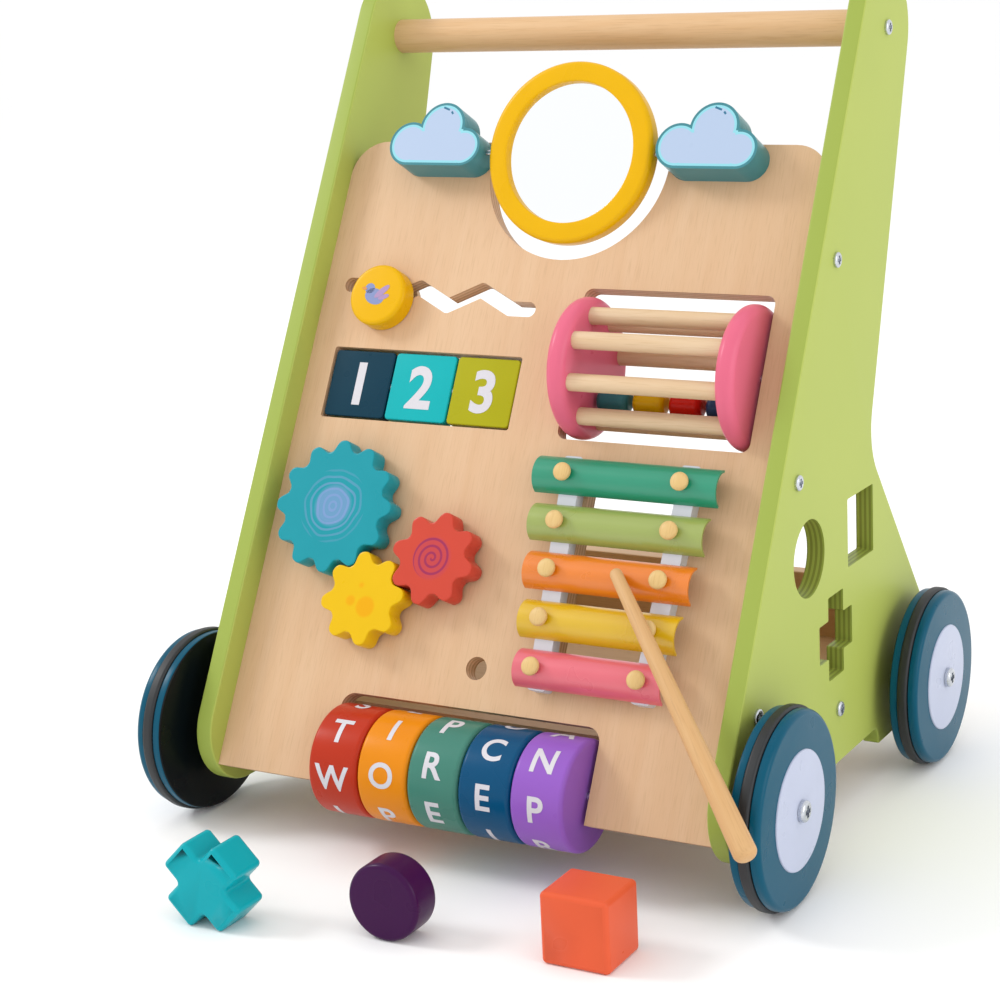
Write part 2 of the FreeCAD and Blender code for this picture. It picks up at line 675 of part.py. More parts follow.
WHEELS = [("front_left", -1, S["front_axle_y"]), ("front_right", 1, S["front_axle_y"]),
          ("rear_left", -1, S["rear_axle_y"]), ("rear_right", 1, S["rear_axle_y"])]
bolt = with_cross_slot(headed_pin(S["bolt_radius"], HEAD_SEAT - HALF, S["bolt_head_radius"],
                                  S["bolt_head_height"]), S["bolt_head_radius"], S["bolt_head_height"])
spacer = Part.makeCylinder(S["washer_radius"], S["washer_thickness"]).cut(
    Part.makeCylinder(S["bolt_radius"], S["washer_thickness"]))
bolts, spacers = [], []
for name, side, y in WHEELS:
    wheel(name, side, y)
    turn = X_AXIS if side > 0 else X_BACK
    bolts.append(placed(bolt, at(side * HEAD_SEAT, y, AXLE_HEIGHT, turn)))
    spacers.append(placed(spacer, at(side * OUTER, y, AXLE_HEIGHT, turn)))
group("wheel_bolts", bolts)
group("wheel_spacers", spacers)

# ---------------------------------------------------------------- clouds and mirror

MIRROR_W = S["cloud_thickness"] / 2
# centre across, centre above the flat underside, radius
CLOUD_BUMPS = [(-16.9, 13.0, 13.0), (2.7, 23.4, 14.5), (18.5, 11.3, 11.3)]


def cloud(label, middle):
    """Cloud with three bumps over a flat underside, glued on the board's face."""
    body = new_body(label, on_board(middle, S["cloud_bottom"], 0))
    bumps = CLOUD_BUMPS
    left, right = bumps[0][0], bumps[-1][0]
    pad(body, box_outline(left, right, 0, bumps[1][1]), cell("cloud_thickness"))
    for x, v, radius in bumps:
        pad(body, circle(x, v, radius), cell("cloud_thickness"))
    wall = bumps[0][0] - bumps[0][2] if middle > 0 else bumps[-1][0] + bumps[-1][2]
    start = wall if middle > 0 else wall - S["wire_depth"]
    drill(body, cell("wire_radius"), cell("wire_depth"),
          at(start, S["mirror_v"] - S["cloud_bottom"], MIRROR_W, X_AXIS))
    return middle + wall


LEFT_WALL = cloud("cloud_left", -S["cloud_x"])
RIGHT_WALL = cloud("cloud_right", S["cloud_x"])

MIRROR = on_board(0, S["mirror_v"], MIRROR_W, FreeCAD.Rotation(V(1, 0, 0), S["mirror_tilt"]))
half_ring, soft = S["ring_thickness"] / 2, S["ring_round"]
ring_outer, ring_inner = S["ring_radius"], S["glass_radius"]
ring = lathe("mirror_ring", [(-half_ring, ring_inner, 1.0), (half_ring, ring_inner, 1.0),
                             (half_ring, ring_outer, soft), (-half_ring, ring_outer, soft)], MIRROR)
for x in (-S["ring_radius"], S["ring_radius"] - S["wire_depth"]):
    drill(ring, cell("wire_radius"), cell("wire_depth"), at(x, 0, 0, X_AXIS), " + " + cell("running_gap"))
half_glass = S["glass_thickness"] / 2
lathe("mirror_glass", [(-half_glass, 0, 0), (half_glass, 0, 0),
                       (half_glass, S["glass_radius"], 0), (-half_glass, S["glass_radius"], 0)], MIRROR)

wires = []
for wall, side in ((LEFT_WALL, -1), (RIGHT_WALL, 1)):
    inner = side * (S["ring_radius"] - S["wire_depth"] + S["side_play"])
    outer = wall + side * S["wire_depth"]
    length = abs(outer - inner)
    wire = Part.makeCylinder(S["wire_radius"], length)
    wires.append(placed(wire, on_board(min(inner, outer), S["mirror_v"], MIRROR_W, X_AXIS)))
group("mirror_wires", wires)

# ---------------------------------------------------------------- bird slider

SLIDER_X = S["slot_first_x"] + S["slot_step"]
SLIDER_V = S["slot_low"] + S["slot_rise"] / 2 - S["slider_swing"]
lift, thick = S["slider_lift"], S["slider_thickness"]
peg_end = -S["board_thickness"] - S["slider_lift"]
knob, peg_radius = S["slider_radius"], S["slider_peg_radius"]
lathe("slider_knob", [(peg_end, 0, 0), (peg_end, peg_radius, 0), (lift, peg_radius, 0), (lift, knob, 0),
                      (lift + thick, knob, 2.5), (lift + thick, 0, 0)], on_board(SLIDER_X, SLIDER_V, 0))
retainer_face = peg_end - S["slider_lift"] / 2
lathe("slider_retainer", [(retainer_face - S["retainer_thickness"], 0, 0),
                          (retainer_face - S["retainer_thickness"], S["retainer_radius"], 1.5),
                          (retainer_face, S["retainer_radius"], 0), (retainer_face, 0, 0)],
      on_board(SLIDER_X, S["slot_low"] + S["slot_rise"] / 2, 0))

# ---------------------------------------------------------------- number tiles

TILE_COUNT = 3
tile_span = S["tile_right"] - S["tile_left"]
TILE_WIDTH = (tile_span - (TILE_COUNT + 1) * S["tile_gap"]) / TILE_COUNT
for i in range(TILE_COUNT):
    left = S["tile_left"] + S["tile_gap"] + i * (TILE_WIDTH + S["tile_gap"])
    tile = new_body("number_tile_%d" % (i + 1),
                    on_board(left, S["tile_v"], MID_BOARD - S["tile_thickness"] / 2))
    half = S["tile_height"] / 2
    pad(tile, box_outline(0, TILE_WIDTH, -half, half, S["tile_corner"]), cell("tile_thickness"))
    doc.recompute()
    soften(tile, tile.Tip, cell("edge_round") + " * 0.7",
           lambda e: e.BoundBox.ZLength < 1e-3 and e.BoundBox.DiagonalLength > 1)
    drill(tile, cell("rod_radius"), cell("inner_width"), at(-1, 0, S["tile_thickness"] / 2, X_AXIS),
          " + " + cell("running_gap"))
round_bar("tile_rod", cell("rod_radius"),
          cell("tile_right") + " - " + cell("tile_left") + " + 2 * " + cell("rod_seat"),
          on_board(S["tile_left"] - S["rod_seat"], S["tile_v"], MID_BOARD, X_AXIS))

# ---------------------------------------------------------------- gears

def gear_wire(pitch, teeth, first_tooth):
    """Closed smooth curve with rounded teeth: the radius is a wave round the pitch circle."""
    steps = int(teeth) * 16
    points = []
    for i in range(steps):
        angle = 2 * math.pi * i / steps
        turn = teeth * (angle - first_tooth)
        wave = (math.cos(turn) - S["gear_flank"] * math.cos(3 * turn)) / (1 - S["gear_flank"])
        radius = pitch - S["gear_backlash"] + S["gear_tooth_half"] * wave
        points.append(V(radius * math.cos(angle), radius * math.sin(angle), 0))
    curve = Part.BSplineCurve()
    curve.interpolate(Points=points, PeriodicFlag=True)
    return Part.Wire(curve.toShape())


def gear(label, centre, pitch, teeth, first_tooth):
    """Gear with a blind bore that turns on a pin fixed in the board."""
    blank = Part.Face(gear_wire(pitch, teeth, first_tooth)).extrude(V(0, 0, S["gear_thickness"]))
    bore = Part.makeCylinder(S["gear_pin_radius"] + S["running_gap"], S["gear_pin_depth"])
    feature = doc.addObject("Part::Feature", label)
    feature.Shape = blank.cut(bore)
    feature.Placement = on_board(centre.x, centre.y, S["gear_lift"])
    return keep(feature, label)


to_big = math.radians(S["gear_big_angle"])
to_red = math.radians(S["gear_red_angle"])
small, big = S["gear_small_teeth"], S["gear_big_teeth"]
yellow_first = to_big + math.pi / small
red_first = to_red + math.pi - (math.pi - small * (to_red - yellow_first)) / small
gear("gear_teal", GEAR_BIG, BIG_PITCH, big, to_big + math.pi)
gear("gear_yellow", GEAR_YELLOW, SMALL_PITCH, small, yellow_first)
gear("gear_red", GEAR_RED, SMALL_PITCH, small, red_first)
pin_length = S["board_thickness"] + S["gear_lift"] + S["gear_pin_depth"] - S["side_play"]
gear_pin = Part.makeCylinder(S["gear_pin_radius"], pin_length)
group("gear_pins", [placed(gear_pin, on_board(c.x, c.y, -S["board_thickness"]))
                    for c in (GEAR_BIG, GEAR_YELLOW, GEAR_RED)])

# ---------------------------------------------------------------- rattle

DISC_LEFT = S["rattle_left"] + S["rattle_side_gap"]
DISC_RIGHT = S["rattle_right"] - S["rattle_side_gap"]
disc_thick, disc_soft = S["rattle_disc_thickness"], S["rattle_disc_round"]
pin_bore = S["rattle_pin_radius"] + S["running_gap"]
pin_seat = S["rattle_pin_seat"]
disc_profile = [(0, pin_bore, 0), (0, S["rattle_disc_radius"], disc_soft),
                (disc_thick, S["rattle_disc_radius"], disc_soft), (disc_thick, 0, 0),
                (pin_seat, 0, 0), (pin_seat, pin_bore, 0)]
dowel_angles = [S["dowel_first"] - i * 360.0 / S["dowel_count"] for i in range(int(S["dowel_count"]))]


def dowel_offset(degrees):
    """(v, w) from the rattle's axis, angles counted from the outward direction towards the top."""
    angle = math.radians(degrees)
    return S["dowel_circle"] * math.sin(angle), S["dowel_circle"] * math.cos(angle)


disc_left = lathe("rattle_disc_left", disc_profile, on_board(DISC_LEFT, RATTLE_V, MID_BOARD, X_AXIS))
disc_right = lathe("rattle_disc_right", disc_profile, on_board(DISC_RIGHT, RATTLE_V, MID_BOARD, X_BACK))
socket = S["dowel_socket"]
dowel_span = DISC_RIGHT - DISC_LEFT - 2 * (disc_thick - socket)
dowel = Part.makeCylinder(S["dowel_radius"], dowel_span)
dowels = []
for degrees in dowel_angles:
    v, w = dowel_offset(degrees)
    start = DISC_LEFT + disc_thick - socket
    dowels.append(placed(dowel, on_board(start, RATTLE_V + v, MID_BOARD + w, X_AXIS)))
    for disc in (disc_left, disc_right):
        local = disc.Placement.inverse().multVec(on_board(0, RATTLE_V + v, MID_BOARD + w).Base)
        drill(disc, cell("dowel_radius"), cell("dowel_socket"), at(local.x, local.y, disc_thick - socket))
group("rattle_dowels", dowels)
rattle_pin = Part.makeCylinder(S["rattle_pin_radius"], 2 * pin_seat + S["rattle_side_gap"] - S["side_play"])
group("rattle_pins", [
    placed(rattle_pin, on_board(S["rattle_left"] - pin_seat, RATTLE_V, MID_BOARD, X_AXIS)),
    placed(rattle_pin, on_board(S["rattle_right"] + pin_seat, RATTLE_V, MID_BOARD, X_BACK))])
bead_room = S["dowel_circle"] - S["dowel_radius"] - S["bead_gap"]
bead_drop = bead_room - S["bead_radius"]
bead_axis = BOARD.multVec(V(0, RATTLE_V, MID_BOARD)) - V(0, 0, bead_drop)
bead_space = DISC_RIGHT - DISC_LEFT - 2 * disc_thick
bead_count = int(S["bead_count"])
barrel = Part.makeCylinder(S["bead_radius"], S["bead_length"])
barrel = barrel.makeFillet(S["bead_round"], [e for e in barrel.Edges if e.BoundBox.ZLength < 1e-3])
beads = []
for i in range(bead_count):
    x = DISC_LEFT + disc_thick + bead_space * (i + 0.5) / bead_count
    beads.append(placed(barrel, at(x - S["bead_length"] / 2, bead_axis.y, bead_axis.z, X_AXIS)))
group("rattle_beads", beads)

# ---------------------------------------------------------------- letter rollers

ROLLER_NAMES = ["roller_red", "roller_orange", "roller_green", "roller_blue", "roller_purple"]
roller_step = S["roller_length"] + S["roller_play"]
roller_bore = S["rod_radius"] + S["running_gap"]
for i, label in enumerate(ROLLER_NAMES):
    start = (i - len(ROLLER_NAMES) / 2) * roller_step + S["roller_play"] / 2
    long, radius, soft = S["roller_length"], S["roller_radius"], S["roller_round"]
    lathe(label, [(0, roller_bore, 0), (long, roller_bore, 0), (long, radius, soft), (0, radius, soft)],
          on_board(start, S["roller_v"], MID_BOARD, X_AXIS))
round_bar("roller_rod", cell("rod_radius"),
          "2 * (" + cell("roller_window_half") + " + " + cell("rod_seat") + ")",
          on_board(-S["roller_window_half"] - S["rod_seat"], S["roller_v"], MID_BOARD, X_AXIS))

# ---------------------------------------------------------------- xylophone

rail_low = BAR_PLACES[0] - S["rail_overhang"]
rail_high = BAR_PLACES[-1] + S["rail_overhang"]


def rail_shape(side):
    half = S["rail_width"] / 2
    low_x, high_x = rail_centre(side, rail_low), rail_centre(side, rail_high)
    outline = rounded([(low_x - half, rail_low, 2.0), (low_x + half, rail_low, 2.0),
                       (high_x + half, rail_high, 2.0), (high_x - half, rail_high, 2.0)])
    face = Part.Face(Part.Wire([g.toShape() for g in outline]))
    solid = face.extrude(V(0, 0, S["rail_height"]))
    for x, v in PEG_POINTS:
        solid = solid.cut(Part.makeCylinder(S["peg_radius"], S["rail_height"], V(x, v, 0)))
    return placed(solid, BOARD)


group("xylophone_rails", [rail_shape(-1), rail_shape(1)])


def arch_section(width, arch, sheet_thickness):
    """Crescent of bent sheet: outer and inner arcs of one thickness."""
    half = width / 2
    radius = (half * half + arch * arch) / (2 * arch)
    inner_half = half - sheet_thickness
    inner_arch = arch - sheet_thickness
    return [Part.Arc(V(-half, 0, 0), V(0, arch, 0), V(half, 0, 0)),
            Part.LineSegment(V(half, 0, 0), V(inner_half, 0, 0)),
            Part.Arc(V(inner_half, 0, 0), V(0, inner_arch, 0), V(-inner_half, 0, 0)),
            Part.LineSegment(V(-inner_half, 0, 0), V(-half, 0, 0))]


BAR_NAMES = ["bar_pink", "bar_yellow", "bar_orange", "bar_olive", "bar_green"]
section_turn = FreeCAD.Rotation(V(1, 0, 0), V(0, 1, 0), V(0, 0, 1), "XYZ")
for i, (label, v) in enumerate(zip(BAR_NAMES, BAR_PLACES)):
    length = S["bar_short"] + i * S["bar_growth"]
    bar = new_body(label, on_board(S["bar_middle_x"] - length / 2, v, S["rail_height"]))
    pad(bar, arch_section(S["bar_width"], S["bar_arch"], S["bar_sheet"]),
        cell("bar_short") + " + %d * " % i + cell("bar_growth"), "YZ_Plane")
    for x, peg_v in PEG_POINTS[2 * i:2 * i + 2]:
        drill(bar, cell("peg_radius"), cell("bar_arch") + " + 2",
              at(x - S["bar_middle_x"] + length / 2, 0, -1), " + " + cell("peg_gap"))

peg_seat = S["rail_height"] + S["bar_arch"] + S["peg_gap"] / 2
peg = headed_pin(S["peg_radius"], peg_seat + 2 * S["peg_radius"], S["peg_head_radius"], S["peg_head_height"])
group("xylophone_pegs", [placed(peg, on_board(x, v, peg_seat)) for x, v in PEG_POINTS])

# ---------------------------------------------------------------- beater

BEATER_AIM = V(190.0, -202.0, 55.1)
tip = on_board(S["beater_tip_x"], S["beater_tip_v"], S["beater_tip_w"]).Base
aim = (BEATER_AIM - tip).normalize()
lathe("beater", [(0, 0, 0), (0, S["beater_tip_radius"], 3.0),
                 (S["beater_length"], S["beater_butt_radius"], 4.0), (S["beater_length"], 0, 0)],
      FreeCAD.Placement(tip, FreeCAD.Rotation(V(0, 0, 1), aim)))

# ---------------------------------------------------------------- loose sorter blocks

gap = S["block_gap"]


def block(label, geometry, depth, placement):
    body = new_body(label, placement)
    slab = pad(body, geometry, cell(depth), "XZ_Plane", backwards=True)
    soften(body, slab, cell("block_round"), lambda e: e.BoundBox.YLength < 1e-3)
    return body


BLOCK_CYLINDER = (14.7, -244.7)
BLOCK_CUBE = (114.8, -235.0)
BLOCK_CROSS = (-76.5, -268.0)
cylinder_radius = S["round_hole_radius"] - gap
block("block_cylinder", circle(0, 0, cylinder_radius), "cylinder_length",
      at(BLOCK_CYLINDER[0], BLOCK_CYLINDER[1], cylinder_radius))
cube_side = S["square_hole_side"] - 2 * gap
block("block_cube", box_outline(-cube_side / 2, cube_side / 2, 0, cube_side, S["block_round"]), "cube_depth",
      at(BLOCK_CUBE[0], BLOCK_CUBE[1], 0))
cross_span, cross_arm = S["cross_hole_span"] - 2 * gap, S["cross_hole_arm"] - 2 * gap
tip_round = S["block_round"]
stand = (cross_span + cross_arm) / 2 / math.sqrt(2) - tip_round * (math.sqrt(2) - 1)
block("block_cross", cross_outline(0, 0, cross_span, cross_arm, tip_round), "cross_depth",
      at(BLOCK_CROSS[0], BLOCK_CROSS[1], stand, FreeCAD.Rotation(V(0, 1, 0), 45)))

# ---------------------------------------------------------------- checks and files

doc.recompute()
for obj in doc.Objects:
    bad = [state for state in obj.State if state in ("Invalid", "Error")]
    if bad:
        raise ValueError("%s (%s) is %s" % (obj.Label, obj.Name, bad))
os.makedirs("parts", exist_ok=True)
for obj in parts:
    shape = obj.Shape
    if shape.isNull() or not shape.isValid() or not shape.Solids:
        raise ValueError("no good solid in " + obj.Label)
    shape.exportStep("parts/" + obj.Label + ".step")
print(len(parts), "sub-parts written")
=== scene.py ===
# %% [markdown]
# # A wooden baby walker with an activity board
# A push walker of painted and lacquered plywood.  Two side panels carry four wheels, a handle and a
# leaning board with toys on it.  The CAD frame already holds every piece at its real size.
# This lesson gives each piece its finish, eases the sharp CAD edges, and adds what is printed on the toys.

# %% Load the frame
import bmesh
import bpy
import json
import math
from mathutils import Matrix, Vector


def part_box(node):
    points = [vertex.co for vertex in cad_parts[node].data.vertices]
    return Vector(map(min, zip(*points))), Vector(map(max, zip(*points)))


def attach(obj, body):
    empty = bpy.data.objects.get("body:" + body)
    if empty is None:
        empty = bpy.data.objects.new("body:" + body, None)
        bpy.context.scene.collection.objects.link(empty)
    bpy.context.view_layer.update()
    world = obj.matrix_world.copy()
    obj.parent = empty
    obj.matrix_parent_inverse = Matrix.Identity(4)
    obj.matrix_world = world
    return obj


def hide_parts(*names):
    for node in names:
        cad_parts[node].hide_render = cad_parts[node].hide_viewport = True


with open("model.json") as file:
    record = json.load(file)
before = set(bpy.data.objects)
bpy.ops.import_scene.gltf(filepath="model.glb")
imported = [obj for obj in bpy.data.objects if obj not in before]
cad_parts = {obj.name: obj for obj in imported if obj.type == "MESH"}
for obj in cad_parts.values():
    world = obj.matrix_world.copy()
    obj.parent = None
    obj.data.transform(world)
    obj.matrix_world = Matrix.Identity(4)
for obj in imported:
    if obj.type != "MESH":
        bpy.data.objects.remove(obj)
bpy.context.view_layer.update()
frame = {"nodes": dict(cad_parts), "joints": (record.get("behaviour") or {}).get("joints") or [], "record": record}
NODES = frame["nodes"]
RECORD = frame["record"]
MM = 0.001

# %% [markdown]
# ## The camera comes first
# Everything is judged through it, so it is set before any piece is made.  It stands a little to the right
# of the walker, about as high as the handle, and looks down at the board.  A small shift slides the
# picture sideways in the way a view camera does, so that the verticals stay as they are.

# %% Camera
CAMERA_AT = Vector((0.572, -1.034, 0.454))
CAMERA_TURN, CAMERA_DIP, CAMERA_ROLL = (math.radians(a) for a in (26.96, 12.58, -1.844))


def aim_matrix(place, turn, dip, roll):
    """Camera matrix from a turn about the upright, a dip below level and a roll about the view."""
    ahead = Vector((-math.sin(turn) * math.cos(dip), math.cos(turn) * math.cos(dip), -math.sin(dip)))
    level = ahead.cross(Vector((0, 0, 1))).normalized()
    below = ahead.cross(level)
    right = level * math.cos(roll) - below * math.sin(roll)
    down = level * math.sin(roll) + below * math.cos(roll)
    columns = Matrix((right, -down, -ahead)).transposed()
    return Matrix.Translation(place) @ columns.to_4x4()


lens = bpy.data.cameras.new("camera")
lens.sensor_width, lens.lens = 36.0, 76.63
lens.shift_x, lens.shift_y = -0.1548, -0.0511
lens.clip_end = 50
camera = bpy.data.objects.new("camera", lens)
camera.matrix_world = aim_matrix(CAMERA_AT, CAMERA_TURN, CAMERA_DIP, CAMERA_ROLL)
bpy.context.scene.collection.objects.link(camera)
bpy.context.scene.camera = camera
print("camera", round((CAMERA_AT - Vector((0, 0, 0.2))).length, 2), "m from the middle of the walker")

# %% [markdown]
# ## Where things are
# The board leans, so it is easier to think in its own directions: across it, up its slope and out of its
# face.  The hole that stores the beater is square to the board, and its mount tells the lean and the
# place of the face.  Every size below comes from the frame or is written in millimetres.

# %% Board coordinates
MOUNTS = {mount["name"]: mount for mount in RECORD["mounts"]}
JOINTS = {joint["name"]: joint for joint in frame["joints"]}
BOARD_THICKNESS = MOUNTS["beater_hole"]["dims"]["length_mm"] * MM
OUT = Vector(MOUNTS["beater_hole"]["axis"]).normalized()
UP = Vector((0, OUT.z, -OUT.y))
ACROSS = Vector((1, 0, 0))
face_point = Vector(MOUNTS["beater_hole"]["pos_m"]) + OUT * (BOARD_THICKNESS / 2)
FOOT = Vector((0, face_point.dot(OUT) / OUT.y, 0))
BOARD_TURN = math.atan2(UP.z, UP.y)
BOARD = Matrix.Translation(FOOT) @ Matrix.Rotation(BOARD_TURN, 4, "X")
print("the board leans", round(90 - math.degrees(BOARD_TURN), 1), "degrees")


def on_board(point):
    """(across, up the slope, out of the face) of a place in the frame."""
    return BOARD.inverted() @ Vector(point)


# %% [markdown]
# ## Studio
# A white floor, a white surround and one large soft light from the upper left give gentle shading, and the
# toys' right sides and undersides fall into shadow.  A weaker light from the right keeps the side panel
# bright.  A white surround also fills the gloss paint with broad, calm reflections.

# %% Floor and light
def linear(code):
    """A colour written as sRGB hex, turned to the linear values that light adds up in."""
    channels = [int(code[i:i + 2], 16) / 255 for i in (1, 3, 5)]
    return [c / 12.92 if c <= 0.04045 else ((c + 0.055) / 1.055) ** 2.4 for c in channels]


def feed(tree, node, sockets):
    """Gives each named or numbered socket of a node a value or a link."""
    for name, value in sockets.items():
        if isinstance(value, bpy.types.NodeSocket):
            tree.links.new(value, node.inputs[name])
        else:
            node.inputs[name].default_value = value


def add(tree, kind, sockets=None, **settings):
    """Adds a node, sets its options and feeds its sockets."""
    node = tree.nodes.new(kind)
    for name, value in settings.items():
        setattr(node, name, value)
    feed(tree, node, sockets or {})
    return node


def new_finish(name):
    """An empty material and its tree."""
    finish = bpy.data.materials.new(name)
    finish.use_nodes = True
    finish.node_tree.nodes.clear()
    return finish, finish.node_tree


def close_finish(tree, shader):
    add(tree, "ShaderNodeOutputMaterial", {"Surface": shader.outputs[0]})


def soft_light(name, place, target, size, power):
    lamp = bpy.data.lights.new(name, "AREA")
    lamp.shape, lamp.size, lamp.energy = "DISK", size, power
    lit = bpy.data.objects.new(name, lamp)
    lit.location = place
    lit.rotation_euler = (Vector(target) - Vector(place)).to_track_quat("-Z", "Y").to_euler()
    bpy.context.scene.collection.objects.link(lit)
    return lit


surround = bpy.data.worlds.new("white_surround")
surround.use_nodes = True
surround.node_tree.nodes["Background"].inputs["Color"].default_value = (1, 1, 1, 1)
surround.node_tree.nodes["Background"].inputs["Strength"].default_value = 1.05
bpy.context.scene.world = surround
bpy.context.scene.view_settings.view_transform = "Standard"
soft_light("key_light", (-2.1, -0.8, 1.9), (0, 0, 0.2), 0.8, 26)
soft_light("right_fill", (2.2, -0.3, 0.9), (0, 0, 0.2), 1.6, 12)

ground = bmesh.new()
bmesh.ops.create_grid(ground, x_segments=8, y_segments=8, size=40)
floor_mesh = bpy.data.meshes.new("floor")
ground.to_mesh(floor_mesh)
ground.free()
floor = bpy.data.objects.new("floor", floor_mesh)
bpy.context.scene.collection.objects.link(floor)
paper, tree = new_finish("matte_white_paper_sweep")
mottle = add(tree, "ShaderNodeTexNoise", {"Scale": 3.0, "Detail": 2.0})
tone = add(tree, "ShaderNodeMapRange", {"Value": mottle.outputs[0], "To Min": 0.95, "To Max": 0.97})
shade = add(tree, "ShaderNodeCombineColor", {0: tone.outputs[0], 1: tone.outputs[0], 2: tone.outputs[0]})
close_finish(tree, add(tree, "ShaderNodeBsdfPrincipled",
                       {"Base Color": shade.outputs[0], "Roughness": 0.9, "Specular IOR Level": 0.1}))
floor_mesh.materials.append(paper)
print("studio ready")

# %% [markdown]
# ## Enamel on wood
# Most toys here are turned or sawn wood under two coats of gloss enamel.  The paint levels itself but
# keeps a faint orange peel about a millimetre across, and its gloss varies a little.  The clear top coat
# gives the sharp small highlight, the pigment below gives the colour.  Enamel's IOR is near 1.5.

# %% Enamel
LIGHT = 1.34  # a white card on the board comes out this bright, so pigments are that much darker
ORANGE_PEEL = 1.6 * MM


def pigment(code):
    return [c / LIGHT for c in linear(code)] + [1]


def enamel(name, code, colour=None, gloss=0.14):
    """Gloss enamel.  colour(tree, place, base) may return a socket with a print or painted shade over the base
    colour.
    """
    finish, tree = new_finish(name)
    place = add(tree, "ShaderNodeTexCoord").outputs["Object"]
    cloudy = add(tree, "ShaderNodeTexNoise", {"Vector": place, "Scale": 60.0, "Detail": 2.0})
    base = pigment(code)
    deep = [c * 0.93 for c in base[:3]] + [1]
    coat = add(tree, "ShaderNodeMix", {0: cloudy.outputs[0], 6: deep, 7: base}, data_type="RGBA")
    shown = colour(tree, place, coat.outputs[2]) if colour else coat.outputs[2]
    peel = add(tree, "ShaderNodeTexNoise", {"Vector": place, "Scale": 1 / ORANGE_PEEL, "Detail": 1.0})
    rough = add(tree, "ShaderNodeMapRange", {"Value": cloudy.outputs[0], "To Min": 0.24, "To Max": 0.34})
    bump = add(tree, "ShaderNodeBump", {"Height": peel.outputs[0], "Strength": 0.25, "Distance": 0.00004})
    shader = add(tree, "ShaderNodeBsdfPrincipled", {
        "Base Color": shown, "Roughness": rough.outputs[0], "Normal": bump.outputs[0], "IOR": 1.5,
        "Specular IOR Level": gloss, "Coat Weight": gloss / 4, "Coat Roughness": 0.12})
    close_finish(tree, shader)
    return finish


# %% [markdown]
# ## Prints on the gears
# The gears carry simple printed patterns.  Each pattern is drawn round its own gear, so a Mapping node
# first carries the place into the gear's directions, with the joint's axis at the origin.  A spiral is a
# ring pattern whose radius also counts the angle.

# %% Patterns drawn round an axis
GEAR_THICKNESS = 12 * MM


def round_axis(tree, place, joint):
    """For a gear: distance from its axis, turns about it, 1 on its front face only, and its own place."""
    local = add(tree, "ShaderNodeMapping", {
        "Vector": place, "Location": JOINTS[joint]["pos_m"], "Rotation": (BOARD_TURN, 0, 0)},
        vector_type="TEXTURE")
    axes = add(tree, "ShaderNodeSeparateXYZ", {0: local.outputs[0]})
    flat = add(tree, "ShaderNodeCombineXYZ", {0: axes.outputs[0], 1: axes.outputs[1]})
    radius = add(tree, "ShaderNodeVectorMath", {0: flat.outputs[0]}, operation="LENGTH")
    angle = add(tree, "ShaderNodeMath", {0: axes.outputs[1], 1: axes.outputs[0]}, operation="ARCTAN2")
    turns = add(tree, "ShaderNodeMath", {0: angle.outputs[0], 1: math.tau}, operation="DIVIDE")
    front = add(tree, "ShaderNodeMath", {0: axes.outputs[2], 1: GEAR_THICKNESS - 0.4 * MM},
                operation="GREATER_THAN")
    return radius.outputs["Value"], turns.outputs[0], front.outputs[0], local.outputs[0]


def line_pattern(tree, along, pitch, share):
    """1 on lines that repeat every pitch, as wide as share of it, with soft edges."""
    count = add(tree, "ShaderNodeMath", {0: along, 1: pitch}, operation="DIVIDE")
    part = add(tree, "ShaderNodeMath", {0: count.outputs[0]}, operation="FRACT")
    off = add(tree, "ShaderNodeMath", {0: part.outputs[0], 1: 0.5}, operation="SUBTRACT")
    size = add(tree, "ShaderNodeMath", {0: off.outputs[0]}, operation="ABSOLUTE")
    return add(tree, "ShaderNodeMapRange", {
        "Value": size.outputs[0], "From Min": share / 2 - 0.05, "From Max": share / 2 + 0.05,
        "To Min": 1.0, "To Max": 0.0}).outputs[0]


def printed(tree, masks, base, code):
    """Ink, or painted shade, over the base colour where every mask is 1.  A number among the masks thins the ink.
    """
    cover = masks[0]
    for mask in masks[1:]:
        cover = add(tree, "ShaderNodeMath", {0: cover, 1: mask}, operation="MULTIPLY").outputs[0]
    return add(tree, "ShaderNodeMix", {0: cover, 6: base, 7: pigment(code)}, data_type="RGBA").outputs[2]


def soft_disc(tree, place, middle, radius, edge):
    """1 inside a round patch in the board's plane, fading to 0 across its edge."""
    offset = add(tree, "ShaderNodeVectorMath", {0: place, 1: middle}, operation="SUBTRACT")
    flat = add(tree, "ShaderNodeVectorMath", {0: offset.outputs[0], 1: (1, 1, 0)}, operation="MULTIPLY")
    size = add(tree, "ShaderNodeVectorMath", {0: flat.outputs[0]}, operation="LENGTH")
    return add(tree, "ShaderNodeMapRange", {
        "Value": size.outputs["Value"], "From Min": radius - edge, "From Max": radius + edge,
        "To Min": 1.0, "To Max": 0.0}).outputs[0]


def spiral(tree, place, base):
    radius, turns, front, local = round_axis(tree, place, "gear_red_spin")
    pitch, reach = 3.8 * MM, 11.5 * MM
    wound = add(tree, "ShaderNodeMath", {0: turns, 1: pitch}, operation="MULTIPLY")
    along = add(tree, "ShaderNodeMath", {0: radius, 1: wound.outputs[0]}, operation="SUBTRACT")
    tinted = printed(tree, (soft_disc(tree, local, (0, 0, 0), reach, 1.0 * MM), front, 0.3), base, "#C2456E")
    kept = add(tree, "ShaderNodeMath", {0: radius, 1: reach}, operation="LESS_THAN")
    lines = line_pattern(tree, along.outputs[0], pitch, 0.36)
    return printed(tree, (lines, kept.outputs[0], front, 0.75), tinted, "#9B2F66")


